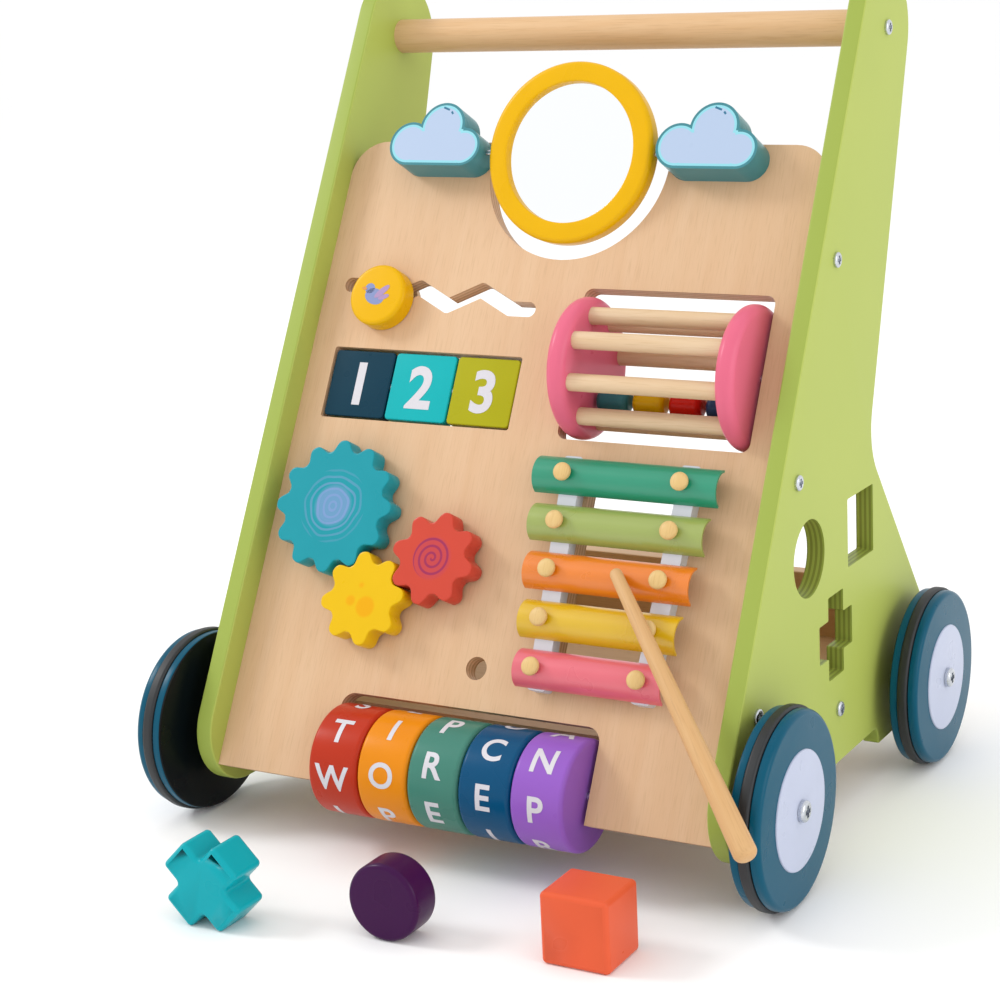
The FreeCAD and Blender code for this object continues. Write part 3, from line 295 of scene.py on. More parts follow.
def rings(tree, place, base):
    radius, turns, front, local = round_axis(tree, place, "gear_teal_spin")
    inner, outer = 10 * MM, 21 * MM
    wobble = add(tree, "ShaderNodeTexNoise", {"Vector": local, "Scale": 55.0, "Detail": 1.0})
    along = add(tree, "ShaderNodeMath", {0: wobble.outputs[0], 1: 7 * MM, 2: radius},
        operation="MULTIPLY_ADD")
    core = soft_disc(tree, local, (0, 0, 0), 11 * MM, 1.6 * MM)
    filled = printed(tree, (core, front, 0.6), base, "#8FA8E0")
    fade = add(tree, "ShaderNodeMapRange", {"Value": radius, "From Min": inner, "From Max": outer,
                                            "To Min": 0.6, "To Max": 0.15})
    kept = add(tree, "ShaderNodeMath", {0: radius, 1: outer}, operation="LESS_THAN")
    lines = line_pattern(tree, along.outputs[0], 3.8 * MM, 0.34)
    return printed(tree, (lines, kept.outputs[0], front, fade.outputs[0]), filled, "#8FA8E0")


def spots(tree, place, base):
    front, local = round_axis(tree, place, "gear_yellow_spin")[2:]
    for x, v, radius in ((3.5, -4.5, 5.7), (-6.5, -2.0, 2.8), (-1.5, 7.0, 1.4)):
        dot = soft_disc(tree, local, (x * MM, v * MM, 0), radius * MM, 0.8 * MM)
        base = printed(tree, (dot, front, 0.8), base, "#FFB300")
    return base


# %% [markdown]
# ## Wood
# Rotary-cut birch, turned beech and plain dowels share one build: soft long streaks along the grain for
# the growth, fine short ones for the pores, and a satin lacquer.  Streaks are noise stretched along the
# grain.  What differs is the direction, the tint and the size of the figure.

# %% Lacquered wood
def wood(name, light, dark, turn=(0, 0, 0), figure=7.0, pores=0.8, ply=None):
    """Lacquered wood whose grain runs along local Z.  ply(tree, place, colour) may band the edges."""
    finish, tree = new_finish(name)
    place = add(tree, "ShaderNodeTexCoord").outputs["Object"]
    local = add(tree, "ShaderNodeMapping", {"Vector": place, "Rotation": turn}, vector_type="TEXTURE")
    broad = 1 / (figure * MM)
    long_way = add(tree, "ShaderNodeMapping", {"Vector": local.outputs[0], "Scale": (broad, broad,
        broad / 14)})
    growth = add(tree, "ShaderNodeTexNoise", {"Vector": long_way.outputs[0], "Scale": 1.0, "Detail": 3.0,
                                              "Distortion": 0.35})
    fine = 1 / (pores * MM)
    short = add(tree, "ShaderNodeMapping", {"Vector": local.outputs[0], "Scale": (fine, fine, fine / 22)})
    pore = add(tree, "ShaderNodeTexNoise", {"Vector": short.outputs[0], "Scale": 1.0, "Detail": 2.0})
    figured = add(tree, "ShaderNodeMix", {0: growth.outputs[0], 6: pigment(dark), 7: pigment(light)},
                  data_type="RGBA")
    deep = [c * 0.86 for c in pigment(dark)[:3]] + [1]
    specks = add(tree, "ShaderNodeMapRange", {"Value": pore.outputs[0], "From Min": 0.52, "From Max": 0.72,
                                              "To Min": 0.0, "To Max": 0.5})
    grain = add(tree, "ShaderNodeMix", {0: specks.outputs[0], 6: figured.outputs[2], 7: deep},
        data_type="RGBA")
    shown = ply(tree, place, grain.outputs[2]) if ply else grain.outputs[2]
    bump = add(tree, "ShaderNodeBump", {"Height": pore.outputs[0], "Strength": 0.2, "Distance": 0.00005})
    rough = add(tree, "ShaderNodeMapRange", {"Value": growth.outputs[0], "To Min": 0.4, "To Max": 0.52})
    shader = add(tree, "ShaderNodeBsdfPrincipled", {
        "Base Color": shown, "Roughness": rough.outputs[0], "Normal": bump.outputs[0], "IOR": 1.48,
        "Specular IOR Level": 0.25, "Coat Weight": 0.04, "Coat Roughness": 0.3})
    close_finish(tree, shader)
    return finish


PLY_LAYER = 1.4 * MM


def edge_bands(tree, place, colour, across, dark, region=None):
    """Plywood layers on faces that don't look along the direction across: thin darker cross-grain bands."""
    facing = add(tree, "ShaderNodeVectorMath", {0: add(tree, "ShaderNodeTexCoord").outputs["Normal"],
                                                1: across}, operation="DOT_PRODUCT")
    size = add(tree, "ShaderNodeMath", {0: facing.outputs["Value"]}, operation="ABSOLUTE")
    edge = add(tree, "ShaderNodeMath", {0: size.outputs[0], 1: 0.5}, operation="LESS_THAN")
    depth = add(tree, "ShaderNodeVectorMath", {0: place, 1: across}, operation="DOT_PRODUCT")
    bands = line_pattern(tree, depth.outputs["Value"], 2 * PLY_LAYER, 0.5)
    masks = [bands, edge.outputs[0]] + (region(tree, place) if region else [])
    return printed(tree, masks + [0.45], colour, dark)


ALONG_X = (0, math.pi / 2, 0)
UP_THE_SLOPE = (BOARD_TURN - math.pi / 2, 0, 0)
birch_face = wood("lacquered_birch_plywood_board", "#F6D0A8", "#EBBE92", turn=UP_THE_SLOPE, figure=9.0,
    pores=0.7,
                  ply=lambda tree, place, colour: edge_bands(tree, place, colour, OUT, "#A9733F"))
birch_flat = wood("lacquered_birch_plywood_shelf", "#F3CDA5", "#E6BA8C", turn=ALONG_X, figure=10.0)
beech_rod = wood("turned_beech_along_the_walker", "#F9D2A4", "#EBBB86", turn=ALONG_X, figure=5.0)
birch_rod = wood("turned_birch_dowel", "#FBE0BE", "#EEC899", turn=ALONG_X, figure=5.0)
peg_wood = wood("turned_birch_peg", "#FAD998", "#EFC47C", turn=UP_THE_SLOPE, figure=3.0)
print("wood finishes ready")

# %% [markdown]
# ## Painted plywood of the side panels
# The panels are birch plywood under a satin apple green.  Their edges and hole walls are painted a darker
# green as painted shade, and inside the sorter holes the layers show through the thin coat as fine bands.

# %% Green panels
def near_sorter_holes(tree, place):
    """Three masks, all 1 in the part of the right panel that holds the sorter holes."""
    middle = Vector((MOUNTS["round_sorter_hole"]["pos_m"][0], -0.016, 0.130))
    offset = add(tree, "ShaderNodeVectorMath", {0: place, 1: middle}, operation="SUBTRACT")
    size = add(tree, "ShaderNodeVectorMath", {0: offset.outputs[0]}, operation="ABSOLUTE")
    axes = add(tree, "ShaderNodeSeparateXYZ", {0: size.outputs[0]}).outputs
    half_sizes = (8 * MM, 60 * MM, 52 * MM)
    return [add(tree, "ShaderNodeMath", {0: axes[i], 1: half}, operation="LESS_THAN").outputs[0]
            for i, half in enumerate(half_sizes)]


def panel_paint():
    finish, tree = new_finish("satin_green_paint_on_plywood")
    coordinates = add(tree, "ShaderNodeTexCoord")
    place = coordinates.outputs["Object"]
    cloudy = add(tree, "ShaderNodeTexNoise", {"Vector": place, "Scale": 14.0, "Detail": 3.0})
    face = add(tree, "ShaderNodeMix", {0: cloudy.outputs[0], 6: pigment("#B9C85A"), 7: pigment("#C4D168")},
               data_type="RGBA")
    looks = add(tree, "ShaderNodeSeparateXYZ", {0: coordinates.outputs["Normal"]})
    sideways = add(tree, "ShaderNodeMath", {0: looks.outputs[0]}, operation="ABSOLUTE")
    edge = add(tree, "ShaderNodeMath", {0: sideways.outputs[0], 1: 0.6}, operation="LESS_THAN")
    # painted shade: faces that don't look sideways (edges, hole walls) get a darker green, #9FB54A
    edge_painted_shade = printed(tree, (edge.outputs[0], 0.6), face.outputs[2], "#9FB54A")
    shown = edge_bands(tree, place, edge_painted_shade, (1, 0, 0), "#5F5A22", near_sorter_holes)
    brushed = add(tree, "ShaderNodeMapping", {"Vector": place, "Scale": (900, 900, 60)})
    grain = add(tree, "ShaderNodeTexNoise", {"Vector": brushed.outputs[0], "Scale": 1.0, "Detail": 2.0})
    bump = add(tree, "ShaderNodeBump", {"Height": grain.outputs[0], "Strength": 0.2, "Distance": 0.00005})
    rough = add(tree, "ShaderNodeMapRange", {"Value": cloudy.outputs[0], "To Min": 0.38, "To Max": 0.5})
    shader = add(tree, "ShaderNodeBsdfPrincipled", {
        "Base Color": shown, "Roughness": rough.outputs[0], "Normal": bump.outputs[0], "IOR": 1.5,
        "Specular IOR Level": 0.25})
    close_finish(tree, shader)
    return finish


green_panel = panel_paint()

# %% [markdown]
# ## Metals, rubber, mirror and ink
# Screws and rods are steel with bright zinc plating.  The sound bars are steel sheet with baked enamel.
# The tyres are rings of black rubber with a dull, slightly dusty skin.  The mirror is silvered acrylic:
# a metal with almost no roughness.  Numerals and letters are a flat coat of screen ink.

# %% Plated steel, rubber, mirror, ink
def plated_steel():
    finish, tree = new_finish("bright_zinc_plated_steel")
    place = add(tree, "ShaderNodeTexCoord").outputs["Object"]
    bloom = add(tree, "ShaderNodeTexNoise", {"Vector": place, "Scale": 900.0, "Detail": 2.0})
    rough = add(tree, "ShaderNodeMapRange", {"Value": bloom.outputs[0], "To Min": 0.16, "To Max": 0.34})
    tint = add(tree, "ShaderNodeMix", {0: bloom.outputs[0], 6: linear("#B9BEC6") + [1],
        7: linear("#D6D9DE") + [1]},
               data_type="RGBA")
    close_finish(tree, add(tree, "ShaderNodeBsdfPrincipled", {
        "Base Color": tint.outputs[2], "Metallic": 1.0, "Roughness": rough.outputs[0]}))
    return finish


def rubber():
    finish, tree = new_finish("black_moulded_rubber")
    place = add(tree, "ShaderNodeTexCoord").outputs["Object"]
    dust = add(tree, "ShaderNodeTexNoise", {"Vector": place, "Scale": 120.0, "Detail": 4.0})
    tint = add(tree, "ShaderNodeMix", {0: dust.outputs[0], 6: linear("#0B0D10") + [1],
        7: linear("#1E2226") + [1]},
               data_type="RGBA")
    rough = add(tree, "ShaderNodeMapRange", {"Value": dust.outputs[0], "To Min": 0.42, "To Max": 0.62})
    bump = add(tree, "ShaderNodeBump", {"Height": dust.outputs[0], "Strength": 0.3, "Distance": 0.00005})
    close_finish(tree, add(tree, "ShaderNodeBsdfPrincipled", {
        "Base Color": tint.outputs[2], "Roughness": rough.outputs[0], "Normal": bump.outputs[0],
        "IOR": 1.52}))
    return finish


def mirror_film():
    finish, tree = new_finish("silvered_acrylic_mirror")
    place = add(tree, "ShaderNodeTexCoord").outputs["Object"]
    haze = add(tree, "ShaderNodeTexNoise", {"Vector": place, "Scale": 30.0, "Detail": 2.0})
    rough = add(tree, "ShaderNodeMapRange", {"Value": haze.outputs[0], "To Min": 0.02, "To Max": 0.05})
    close_finish(tree, add(tree, "ShaderNodeBsdfPrincipled", {
        "Base Color": linear("#F7F9FB") + [1], "Metallic": 1.0, "Roughness": rough.outputs[0]}))
    return finish


def ink(name, code):
    finish, tree = new_finish(name)
    place = add(tree, "ShaderNodeTexCoord").outputs["Object"]
    speck = add(tree, "ShaderNodeTexNoise", {"Vector": place, "Scale": 700.0, "Detail": 2.0})
    base = pigment(code)
    thin = [c * 0.94 for c in base[:3]] + [1]
    tint = add(tree, "ShaderNodeMix", {0: speck.outputs[0], 6: thin, 7: base}, data_type="RGBA")
    rough = add(tree, "ShaderNodeMapRange", {"Value": speck.outputs[0], "To Min": 0.4, "To Max": 0.5})
    close_finish(tree, add(tree, "ShaderNodeBsdfPrincipled", {
        "Base Color": tint.outputs[2], "Roughness": rough.outputs[0], "IOR": 1.5}))
    return finish


def bead_colours(tree, place, base):
    """Four beads in a row, each painted its own colour: the colour changes half way between two beads."""
    axes = add(tree, "ShaderNodeSeparateXYZ", {0: place})
    low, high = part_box("rattle_beads")
    colour = base
    for i, code in ((1, "#E8B400"), (2, "#D82010"), (3, "#2F4468")):
        edge = low.x + i * (high.x - low.x) / 4
        past = add(tree, "ShaderNodeMath", {0: axes.outputs[0], 1: edge}, operation="GREATER_THAN")
        colour = add(tree, "ShaderNodeMix", {0: past.outputs[0], 6: colour, 7: pigment(code)},
                     data_type="RGBA").outputs[2]
    return colour


def dark_inner_face(tree, place, base):
    """Painted shade: the wheel's face towards the walker, which falls in shadow, is painted near black."""
    looks = add(tree, "ShaderNodeTexCoord").outputs["Normal"]
    inward = add(tree, "ShaderNodeVectorMath", {0: looks, 1: place}, operation="MULTIPLY")
    axes = add(tree, "ShaderNodeSeparateXYZ", {0: inward.outputs[0]})
    # painted shade: faces looking towards the walker's middle get the near-black colour #0A1216
    back = add(tree, "ShaderNodeMath", {0: axes.outputs[0], 1: -0.1}, operation="LESS_THAN")
    return printed(tree, (back.outputs[0],), base, "#0A1216")


# centre across, centre above the flat underside, radius, in millimetres
CLOUD_BUMPS = ((-16.9, 13.0, 13.0), (2.7, 23.4, 14.5), (18.5, 11.3, 11.3))


def cloud_print(node):
    """Pale face with a cyan border and two short strokes, kept inside the cloud's outline."""
    places = [on_board(v.co) for v in NODES[node].data.vertices]
    left, right = min(q.x for q in places), max(q.x for q in places)
    under, top = min(q.y for q in places), max(q.z for q in places)
    origin = Vector(((left + right) / 2 + 0.05 * MM, under, 0))

    def colour(tree, place, base):
        local = add(tree, "ShaderNodeMapping", {
            "Vector": place, "Location": tuple(BOARD @ origin), "Rotation": (BOARD_TURN, 0, 0)},
            vector_type="TEXTURE").outputs[0]
        axes = add(tree, "ShaderNodeSeparateXYZ", {0: local})
        depth = None
        for x, v, radius in CLOUD_BUMPS:
            offset = add(tree, "ShaderNodeVectorMath", {0: local, 1: (x * MM, v * MM, 0)},
                operation="SUBTRACT")
            flat = add(tree, "ShaderNodeVectorMath", {0: offset.outputs[0], 1: (1, 1, 0)},
                operation="MULTIPLY")
            size = add(tree, "ShaderNodeVectorMath", {0: flat.outputs[0]}, operation="LENGTH")
            inner = add(tree, "ShaderNodeMath", {0: radius * MM, 1: size.outputs["Value"]},
                operation="SUBTRACT")
            depth = inner.outputs[0] if depth is None else add(
                tree, "ShaderNodeMath", {0: depth, 1: inner.outputs[0]}, operation="MAXIMUM").outputs[0]
        sides = []
        for axis, low_end, high_end in ((0, -16.9, 18.5), (1, 0.0, 23.4)):
            up = add(tree, "ShaderNodeMath", {0: axes.outputs[axis], 1: low_end * MM}, operation="SUBTRACT")
            down = add(tree, "ShaderNodeMath", {0: high_end * MM, 1: axes.outputs[axis]},
                operation="SUBTRACT")
            sides.append(add(tree, "ShaderNodeMath", {0: up.outputs[0], 1: down.outputs[0]},
                             operation="MINIMUM").outputs[0])
        block = add(tree, "ShaderNodeMath", {0: sides[0], 1: sides[1]}, operation="MINIMUM").outputs[0]
        depth = add(tree, "ShaderNodeMath", {0: depth, 1: block}, operation="MAXIMUM").outputs[0]
        front = add(tree, "ShaderNodeMath", {0: axes.outputs[2], 1: top - 0.5 * MM},
                    operation="GREATER_THAN").outputs[0]
        border = add(tree, "ShaderNodeMath", {0: depth, 1: 1.5 * MM}, operation="GREATER_THAN").outputs[0]
        middle = add(tree, "ShaderNodeMath", {0: depth, 1: 2.9 * MM}, operation="GREATER_THAN").outputs[0]
        shown = printed(tree, (border, front), base, "#9FE8F5")
        shown = printed(tree, (middle, front), shown, "#C3D6F2")
        for x, v, half_long, half_wide, tilt in ((3.2, 34.4, 2.2, 0.6, -0.35), (7.4, 31.9, 1.0, 0.6, -0.9)):
            turned = add(tree, "ShaderNodeMapping", {
                "Vector": local, "Location": (x * MM, v * MM, 0), "Rotation": (0, 0, tilt)},
                vector_type="TEXTURE")
            part = add(tree, "ShaderNodeVectorMath", {0: turned.outputs[0]}, operation="ABSOLUTE")
            reach = add(tree, "ShaderNodeSeparateXYZ", {0: part.outputs[0]}).outputs
            stroke = [add(tree, "ShaderNodeMath", {0: reach[i], 1: half * MM},
                operation="LESS_THAN").outputs[0]
                      for i, half in enumerate((half_long, half_wide))]
            shown = printed(tree, stroke + [front], shown, "#3F7FA0")
        return shown
    return colour


steel, tyre_rubber, mirror, white_ink = plated_steel(), rubber(), mirror_film(), ink("white_screen_ink",
    "#ECE9F0")
print("metal, rubber, mirror and ink ready")

# %% [markdown]
# ## Which finish goes where
# One table gives each enamel its colour, and another gives each node its finish.  A node keeps its CAD
# mesh wherever its shape is already right.

# %% Assign finishes
ENAMELS = {
    "yellow": "#FFC400", "navy": "#003E54", "turquoise": "#10C4C8", "lime": "#BFBB10", "teal": "#22A6B4",
    "red": "#E2523F", "pink": "#FB7896", "roller_red": "#CE3A1E", "roller_orange": "#FF9A12",
    "roller_green": "#4F9180", "roller_blue": "#005684", "roller_purple": "#A66AD8", "plum": "#430A4A",
    "block_orange": "#FB6A42", "block_turquoise": "#08B8C4", "cloud_side": "#4F96A0", "bar_green": "#009E78",
    "bar_olive": "#A9BA5C", "bar_orange": "#FF8A10", "bar_yellow": "#F2C400", "bar_pink": "#FA7080",
    "wheel": "#005C78", "rail": "#E9EBF4", "hub": "#D3DAF2",
}
finishes = {name: enamel("gloss_enamel_" + name, code, gloss=0.7 if name.startswith("bar_") else 0.14)
            for name, code in ENAMELS.items()}
finishes["teal_print"] = enamel("gloss_enamel_teal_with_rings", ENAMELS["teal"], rings)
finishes["red_print"] = enamel("gloss_enamel_red_with_spiral", ENAMELS["red"], spiral)
finishes["yellow_print"] = enamel("gloss_enamel_yellow_with_spots", "#FFCE10", spots)
# the wheel enamel carries painted shade, near black, on its inner face
finishes["wheel"] = enamel("gloss_enamel_wheel_with_painted_shade_back", ENAMELS["wheel"], dark_inner_face)
finishes["cloud_left"] = enamel("printed_enamel_cloud_left", ENAMELS["cloud_side"], cloud_print("cloud_left"))
finishes["cloud_right"] = enamel("printed_enamel_cloud_right", ENAMELS["cloud_side"],
    cloud_print("cloud_right"))
finishes["beads"] = enamel("gloss_enamel_beads", "#3F7F86", bead_colours)

NODE_FINISH = {
    "side_panel_left": green_panel, "side_panel_right": green_panel, "activity_board": birch_face,
    "base_board": birch_flat, "back_board": birch_flat, "push_handle": beech_rod, "rattle_dowels": birch_rod,
    "panel_screws": steel, "handle_screws": steel, "wheel_bolts": steel, "wheel_spacers": steel,
    "mirror_wires": steel, "tile_rod": steel, "roller_rod": steel, "rattle_pins": steel,
    "cloud_left": finishes["cloud_left"], "cloud_right": finishes["cloud_right"],
    "mirror_ring": finishes["yellow"], "mirror_glass": mirror, "slider_knob": finishes["yellow"],
    "slider_retainer": birch_rod, "gear_pins": birch_rod, "xylophone_pegs": peg_wood,
    "number_tile_1": finishes["navy"], "number_tile_2": finishes["turquoise"],
    "number_tile_3": finishes["lime"],
    "gear_teal": finishes["teal_print"], "gear_yellow": finishes["yellow_print"],
    "gear_red": finishes["red_print"], "rattle_disc_left": finishes["pink"],
    "rattle_disc_right": finishes["pink"],
    "rattle_beads": finishes["beads"], "xylophone_rails": finishes["rail"],
    "block_cross": finishes["block_turquoise"],
    "block_cylinder": finishes["plum"], "block_cube": finishes["block_orange"],
}
for name in ("red", "orange", "green", "blue", "purple"):
    NODE_FINISH["roller_" + name] = finishes["roller_" + name]
for name in ("green", "olive", "orange", "yellow", "pink"):
    NODE_FINISH["bar_" + name] = finishes["bar_" + name]
for corner in ("front_left", "front_right", "rear_left", "rear_right"):
    NODE_FINISH["wheel_" + corner] = finishes["wheel"]
    NODE_FINISH["tyre_" + corner] = tyre_rubber
    NODE_FINISH["hub_disc_" + corner] = finishes["hub"]

beater_low, beater_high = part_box("beater")
beater_way = Vector((beater_high.x - beater_low.x, beater_low.y - beater_high.y,
    beater_low.z - beater_high.z))
beater_turn = beater_way.to_track_quat("Z", "Y").to_euler()
NODE_FINISH["beater"] = wood("turned_beech_beater", "#F0C48C", "#E2AE74", turn=tuple(beater_turn), figure=5.0)
for name, finish in NODE_FINISH.items():
    mesh = NODES[name].data
    mesh.materials.clear()
    mesh.materials.append(finish)
print("finishes on", len(NODE_FINISH), "of", len(NODES), "nodes")

# %% [markdown]
# ## Eased edges
# A sander takes the sharpness off every wooden edge before painting, and that thin rounded edge is what
# catches the light.  The CAD solids are sharp there.  A copy of the solid is merged, its flat faces are
# joined again, and a narrow bevel eases the edges.  The copy then stands for the node.

# %% Ease the edges of sawn pieces
BODY_OF = {node: body for body, members in RECORD["behaviour"]["bodies"].items() for node in members}


def stand_in(piece, node):
    """The piece shows in place of a CAD node, and moves as that node does."""
    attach(piece, BODY_OF[node])
    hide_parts(node)


def smooth_by_angle(mesh, degrees):
    mesh.shade_smooth()
    sharp = bmesh.new()
    sharp.from_mesh(mesh)
    for edge in sharp.edges:
        edge.smooth = len(edge.link_faces) == 2 and edge.calc_face_angle() < math.radians(degrees)
    sharp.to_mesh(mesh)
    sharp.free()


def eased(node, width, segments=3):
    """A merged copy of a node with a narrow bevel on its sharp edges."""
    shape = bmesh.new()
    shape.from_mesh(NODES[node].data)
    bmesh.ops.remove_doubles(shape, verts=shape.verts, dist=1e-6)
    bmesh.ops.dissolve_limit(shape, angle_limit=math.radians(0.5), verts=shape.verts, edges=shape.edges)
    mesh = bpy.data.meshes.new(node + "_eased")
    shape.to_mesh(mesh)
    shape.free()
    smooth_by_angle(mesh, 35)
    mesh.materials.append(NODE_FINISH[node])
    piece = bpy.data.objects.new(node + "_eased", mesh)
    bpy.context.scene.collection.objects.link(piece)
    if width:
        bevel = piece.modifiers.new("eased_edge", "BEVEL")
        bevel.width, bevel.segments = width, segments
        bevel.limit_method, bevel.angle_limit = "ANGLE", math.radians(35)
        bevel.use_clamp_overlap, bevel.harden_normals = True, True
    stand_in(piece, node)
    return piece


EASED = {"activity_board": 0.4, "base_board": 0.5, "back_board": 0.8, "cloud_left": 1.3,
         "cloud_right": 1.3, "xylophone_rails": 0.7}
BY_RULE = ("gear_teal", "gear_yellow", "gear_red", "rattle_dowels", "xylophone_pegs")
for node, width in EASED.items():
    eased(node, width * MM)
print("eased", len(EASED), "pieces")

# %% Smooth the round pieces
ROUND = [name for name in NODES if name not in EASED and name not in BY_RULE]
for node in ROUND:
    eased(node, 0)
print("smoothed", len(ROUND), "pieces")

# %% [markdown]
# ## Gears drawn by their rule
# A gear's outline is a wave round its pitch circle, one crest for each tooth, with the flanks made steeper
# by a share of the third harmonic.  A node tree bends a flat grid into the whole gear: one way round the
# axis, the other way along the section, which starts in the bore, goes over the eased edges and ends in the
# middle of the front face.

# %% Node tree helpers
def rule_tree(name, inputs):
    """A geometry tree with named inputs (kind, name) and the group input node that gives them."""
    tree = bpy.data.node_groups.new(name, "GeometryNodeTree")
    tree.interface.new_socket(name="Geometry", in_out="OUTPUT", socket_type="NodeSocketGeometry")
    for kind, label in inputs:
        tree.interface.new_socket(name=label, in_out="INPUT", socket_type="NodeSocket" + kind)
    return tree, add(tree, "NodeGroupInput")


def close_rule(tree, geometry, material):
    """Every tree ends by making its copies real and giving them their finish."""
    real = add(tree, "GeometryNodeRealizeInstances", {0: geometry})
    painted = add(tree, "GeometryNodeSetMaterial", {"Geometry": real.outputs[0], "Material": material})
    output = tree.nodes.new("NodeGroupOutput")
    tree.links.new(painted.outputs[0], output.inputs[0])


def baked(tree, name, values, place):
    """Runs a tree with its inputs set, keeps the result as a plain mesh in the frame's coordinates."""
    host = bpy.data.objects.new(name + "_rule", bpy.data.meshes.new(name + "_rule"))
    bpy.context.scene.collection.objects.link(host)
    modifier = host.modifiers.new("rule", "NODES")
    modifier.node_group = tree
    for item in tree.interface.items_tree:
        if item.in_out == "INPUT" and item.name in values:
            modifier[item.identifier] = values[item.name]
    host.update_tag()
    bpy.context.view_layer.update()
    mesh = bpy.data.meshes.new_from_object(host.evaluated_get(bpy.context.evaluated_depsgraph_get()))
    bpy.data.objects.remove(host)
    mesh.transform(place)
    tidy = bmesh.new()
    tidy.from_mesh(mesh)
    bmesh.ops.recalc_face_normals(tidy, faces=tidy.faces)
    tidy.to_mesh(mesh)
    tidy.free()
    smooth_by_angle(mesh, 35)
    piece = bpy.data.objects.new(name, mesh)
    bpy.context.scene.collection.objects.link(piece)
    return piece


def grid_sheet(tree, around, rows):
    """A flat grid to bend: the angle round the axis and the share of the section, at every point."""
    sheet = add(tree, "GeometryNodeMeshGrid", {"Size X": 1.0, "Size Y": 1.0, "Vertices X": around,
                                               "Vertices Y": rows})
    axes = add(tree, "ShaderNodeSeparateXYZ", {0: add(tree, "GeometryNodeInputPosition").outputs[0]})
    angle = add(tree, "ShaderNodeMath", {0: axes.outputs[0], 1: math.tau, 2: math.pi},
                operation="MULTIPLY_ADD")
    share = add(tree, "ShaderNodeMath", {0: axes.outputs[1], 1: 0.5})
    return sheet.outputs[0], angle.outputs[0], share.outputs[0]


def bend(tree, sheet, angle, radius, height):
    """Carries the flat grid to its place round the axis and closes the seam."""
    cosine = add(tree, "ShaderNodeMath", {0: angle}, operation="COSINE")
    sine = add(tree, "ShaderNodeMath", {0: angle}, operation="SINE")
    circle = add(tree, "ShaderNodeCombineXYZ", {0: cosine.outputs[0], 1: sine.outputs[0]})
    wide = add(tree, "ShaderNodeVectorMath", {0: circle.outputs[0], "Scale": radius}, operation="SCALE")
    lift = add(tree, "ShaderNodeCombineXYZ", {2: height})
    place = add(tree, "ShaderNodeVectorMath", {0: wide.outputs[0], 1: lift.outputs[0]})
    bent = add(tree, "GeometryNodeSetPosition", {"Geometry": sheet, "Position": place.outputs[0]})
    return add(tree, "GeometryNodeMergeByDistance", {"Geometry": bent.outputs[0],
        "Distance": 1e-6}).outputs[0]


# %% Gears
POINTS_PER_TOOTH, SECTION_ROWS = 24.0, 12
SUPPORT_ROW = 0.3 * MM  # a row this far in from the eased edge keeps the faces' shading flat


def gear_rule():
    tree, given = rule_tree("gear_by_rule", (
        ("Int", "Teeth"), ("Float", "Pitch Radius"), ("Float", "Tooth Half Height"), ("Float", "Flank"),
        ("Float", "First Tooth"), ("Float", "Thickness"), ("Float", "Ease"), ("Float", "Bore Radius"),
        ("Float", "Bore Depth"), ("Material", "Finish")))
    want = given.outputs
    around = add(tree, "ShaderNodeMath", {0: want["Teeth"], 1: POINTS_PER_TOOTH, 2: 1.0},
                 operation="MULTIPLY_ADD")
    sheet, angle, share = grid_sheet(tree, around.outputs[0], SECTION_ROWS)
    spot = add(tree, "ShaderNodeMath", {0: share, 1: SECTION_ROWS - 1.0}, operation="MULTIPLY")
    row = add(tree, "ShaderNodeMath", {0: spot.outputs[0]}, operation="ROUND")
    # the wave: one crest for each tooth, less a share of its third harmonic, at unit height
    past = add(tree, "ShaderNodeMath", {0: angle, 1: want["First Tooth"]}, operation="SUBTRACT")
    turn = add(tree, "ShaderNodeMath", {0: want["Teeth"], 1: past.outputs[0]}, operation="MULTIPLY")
    triple = add(tree, "ShaderNodeMath", {0: turn.outputs[0], 1: 3.0}, operation="MULTIPLY")
    first = add(tree, "ShaderNodeMath", {0: turn.outputs[0]}, operation="COSINE")
    third = add(tree, "ShaderNodeMath", {0: triple.outputs[0]}, operation="COSINE")
    dip = add(tree, "ShaderNodeMath", {0: want["Flank"], 1: third.outputs[0]}, operation="MULTIPLY")
    steep = add(tree, "ShaderNodeMath", {0: first.outputs[0], 1: dip.outputs[0]}, operation="SUBTRACT")
    peak = add(tree, "ShaderNodeMath", {0: 1.0, 1: want["Flank"]}, operation="SUBTRACT")
    wave = add(tree, "ShaderNodeMath", {0: steep.outputs[0], 1: peak.outputs[0]}, operation="DIVIDE")
    outline = add(tree, "ShaderNodeMath", {0: want["Tooth Half Height"], 1: wave.outputs[0],
                                           2: want["Pitch Radius"]}, operation="MULTIPLY_ADD").outputs[0]
    # the section: how far each row lies from the axis and from the back face
    ease, thick, bore, depth = (want[name] for name in ("Ease", "Thickness", "Bore Radius", "Bore Depth"))
    small = add(tree, "ShaderNodeMath", {0: ease, 1: 0.29}, operation="MULTIPLY").outputs[0]
    inset, shallow, shoulder, crown = (
        add(tree, "ShaderNodeMath", {0: whole, 1: cut}, operation="SUBTRACT").outputs[0]
        for whole, cut in ((outline, ease), (outline, small), (thick, ease), (thick, small)))
    flat = add(tree, "ShaderNodeMath", {0: inset, 1: SUPPORT_ROW}, operation="SUBTRACT").outputs[0]
    picked = []
    for values in ((0.0, bore, bore, flat, inset, shallow, outline, outline, shallow, inset, flat, 0.0),
                   (depth, depth, 0.0, 0.0, 0.0, small, ease, shoulder, crown, thick, thick, thick)):
        pick = add(tree, "GeometryNodeIndexSwitch", data_type="FLOAT")
        while len(pick.index_switch_items) < SECTION_ROWS:
            pick.index_switch_items.new()
        feed(tree, pick, {"Index": row.outputs[0], **{str(i): value for i, value in enumerate(values)}})
        picked.append(pick.outputs[0])
    close_rule(tree, bend(tree, sheet, angle, *picked), want["Finish"])
    return tree


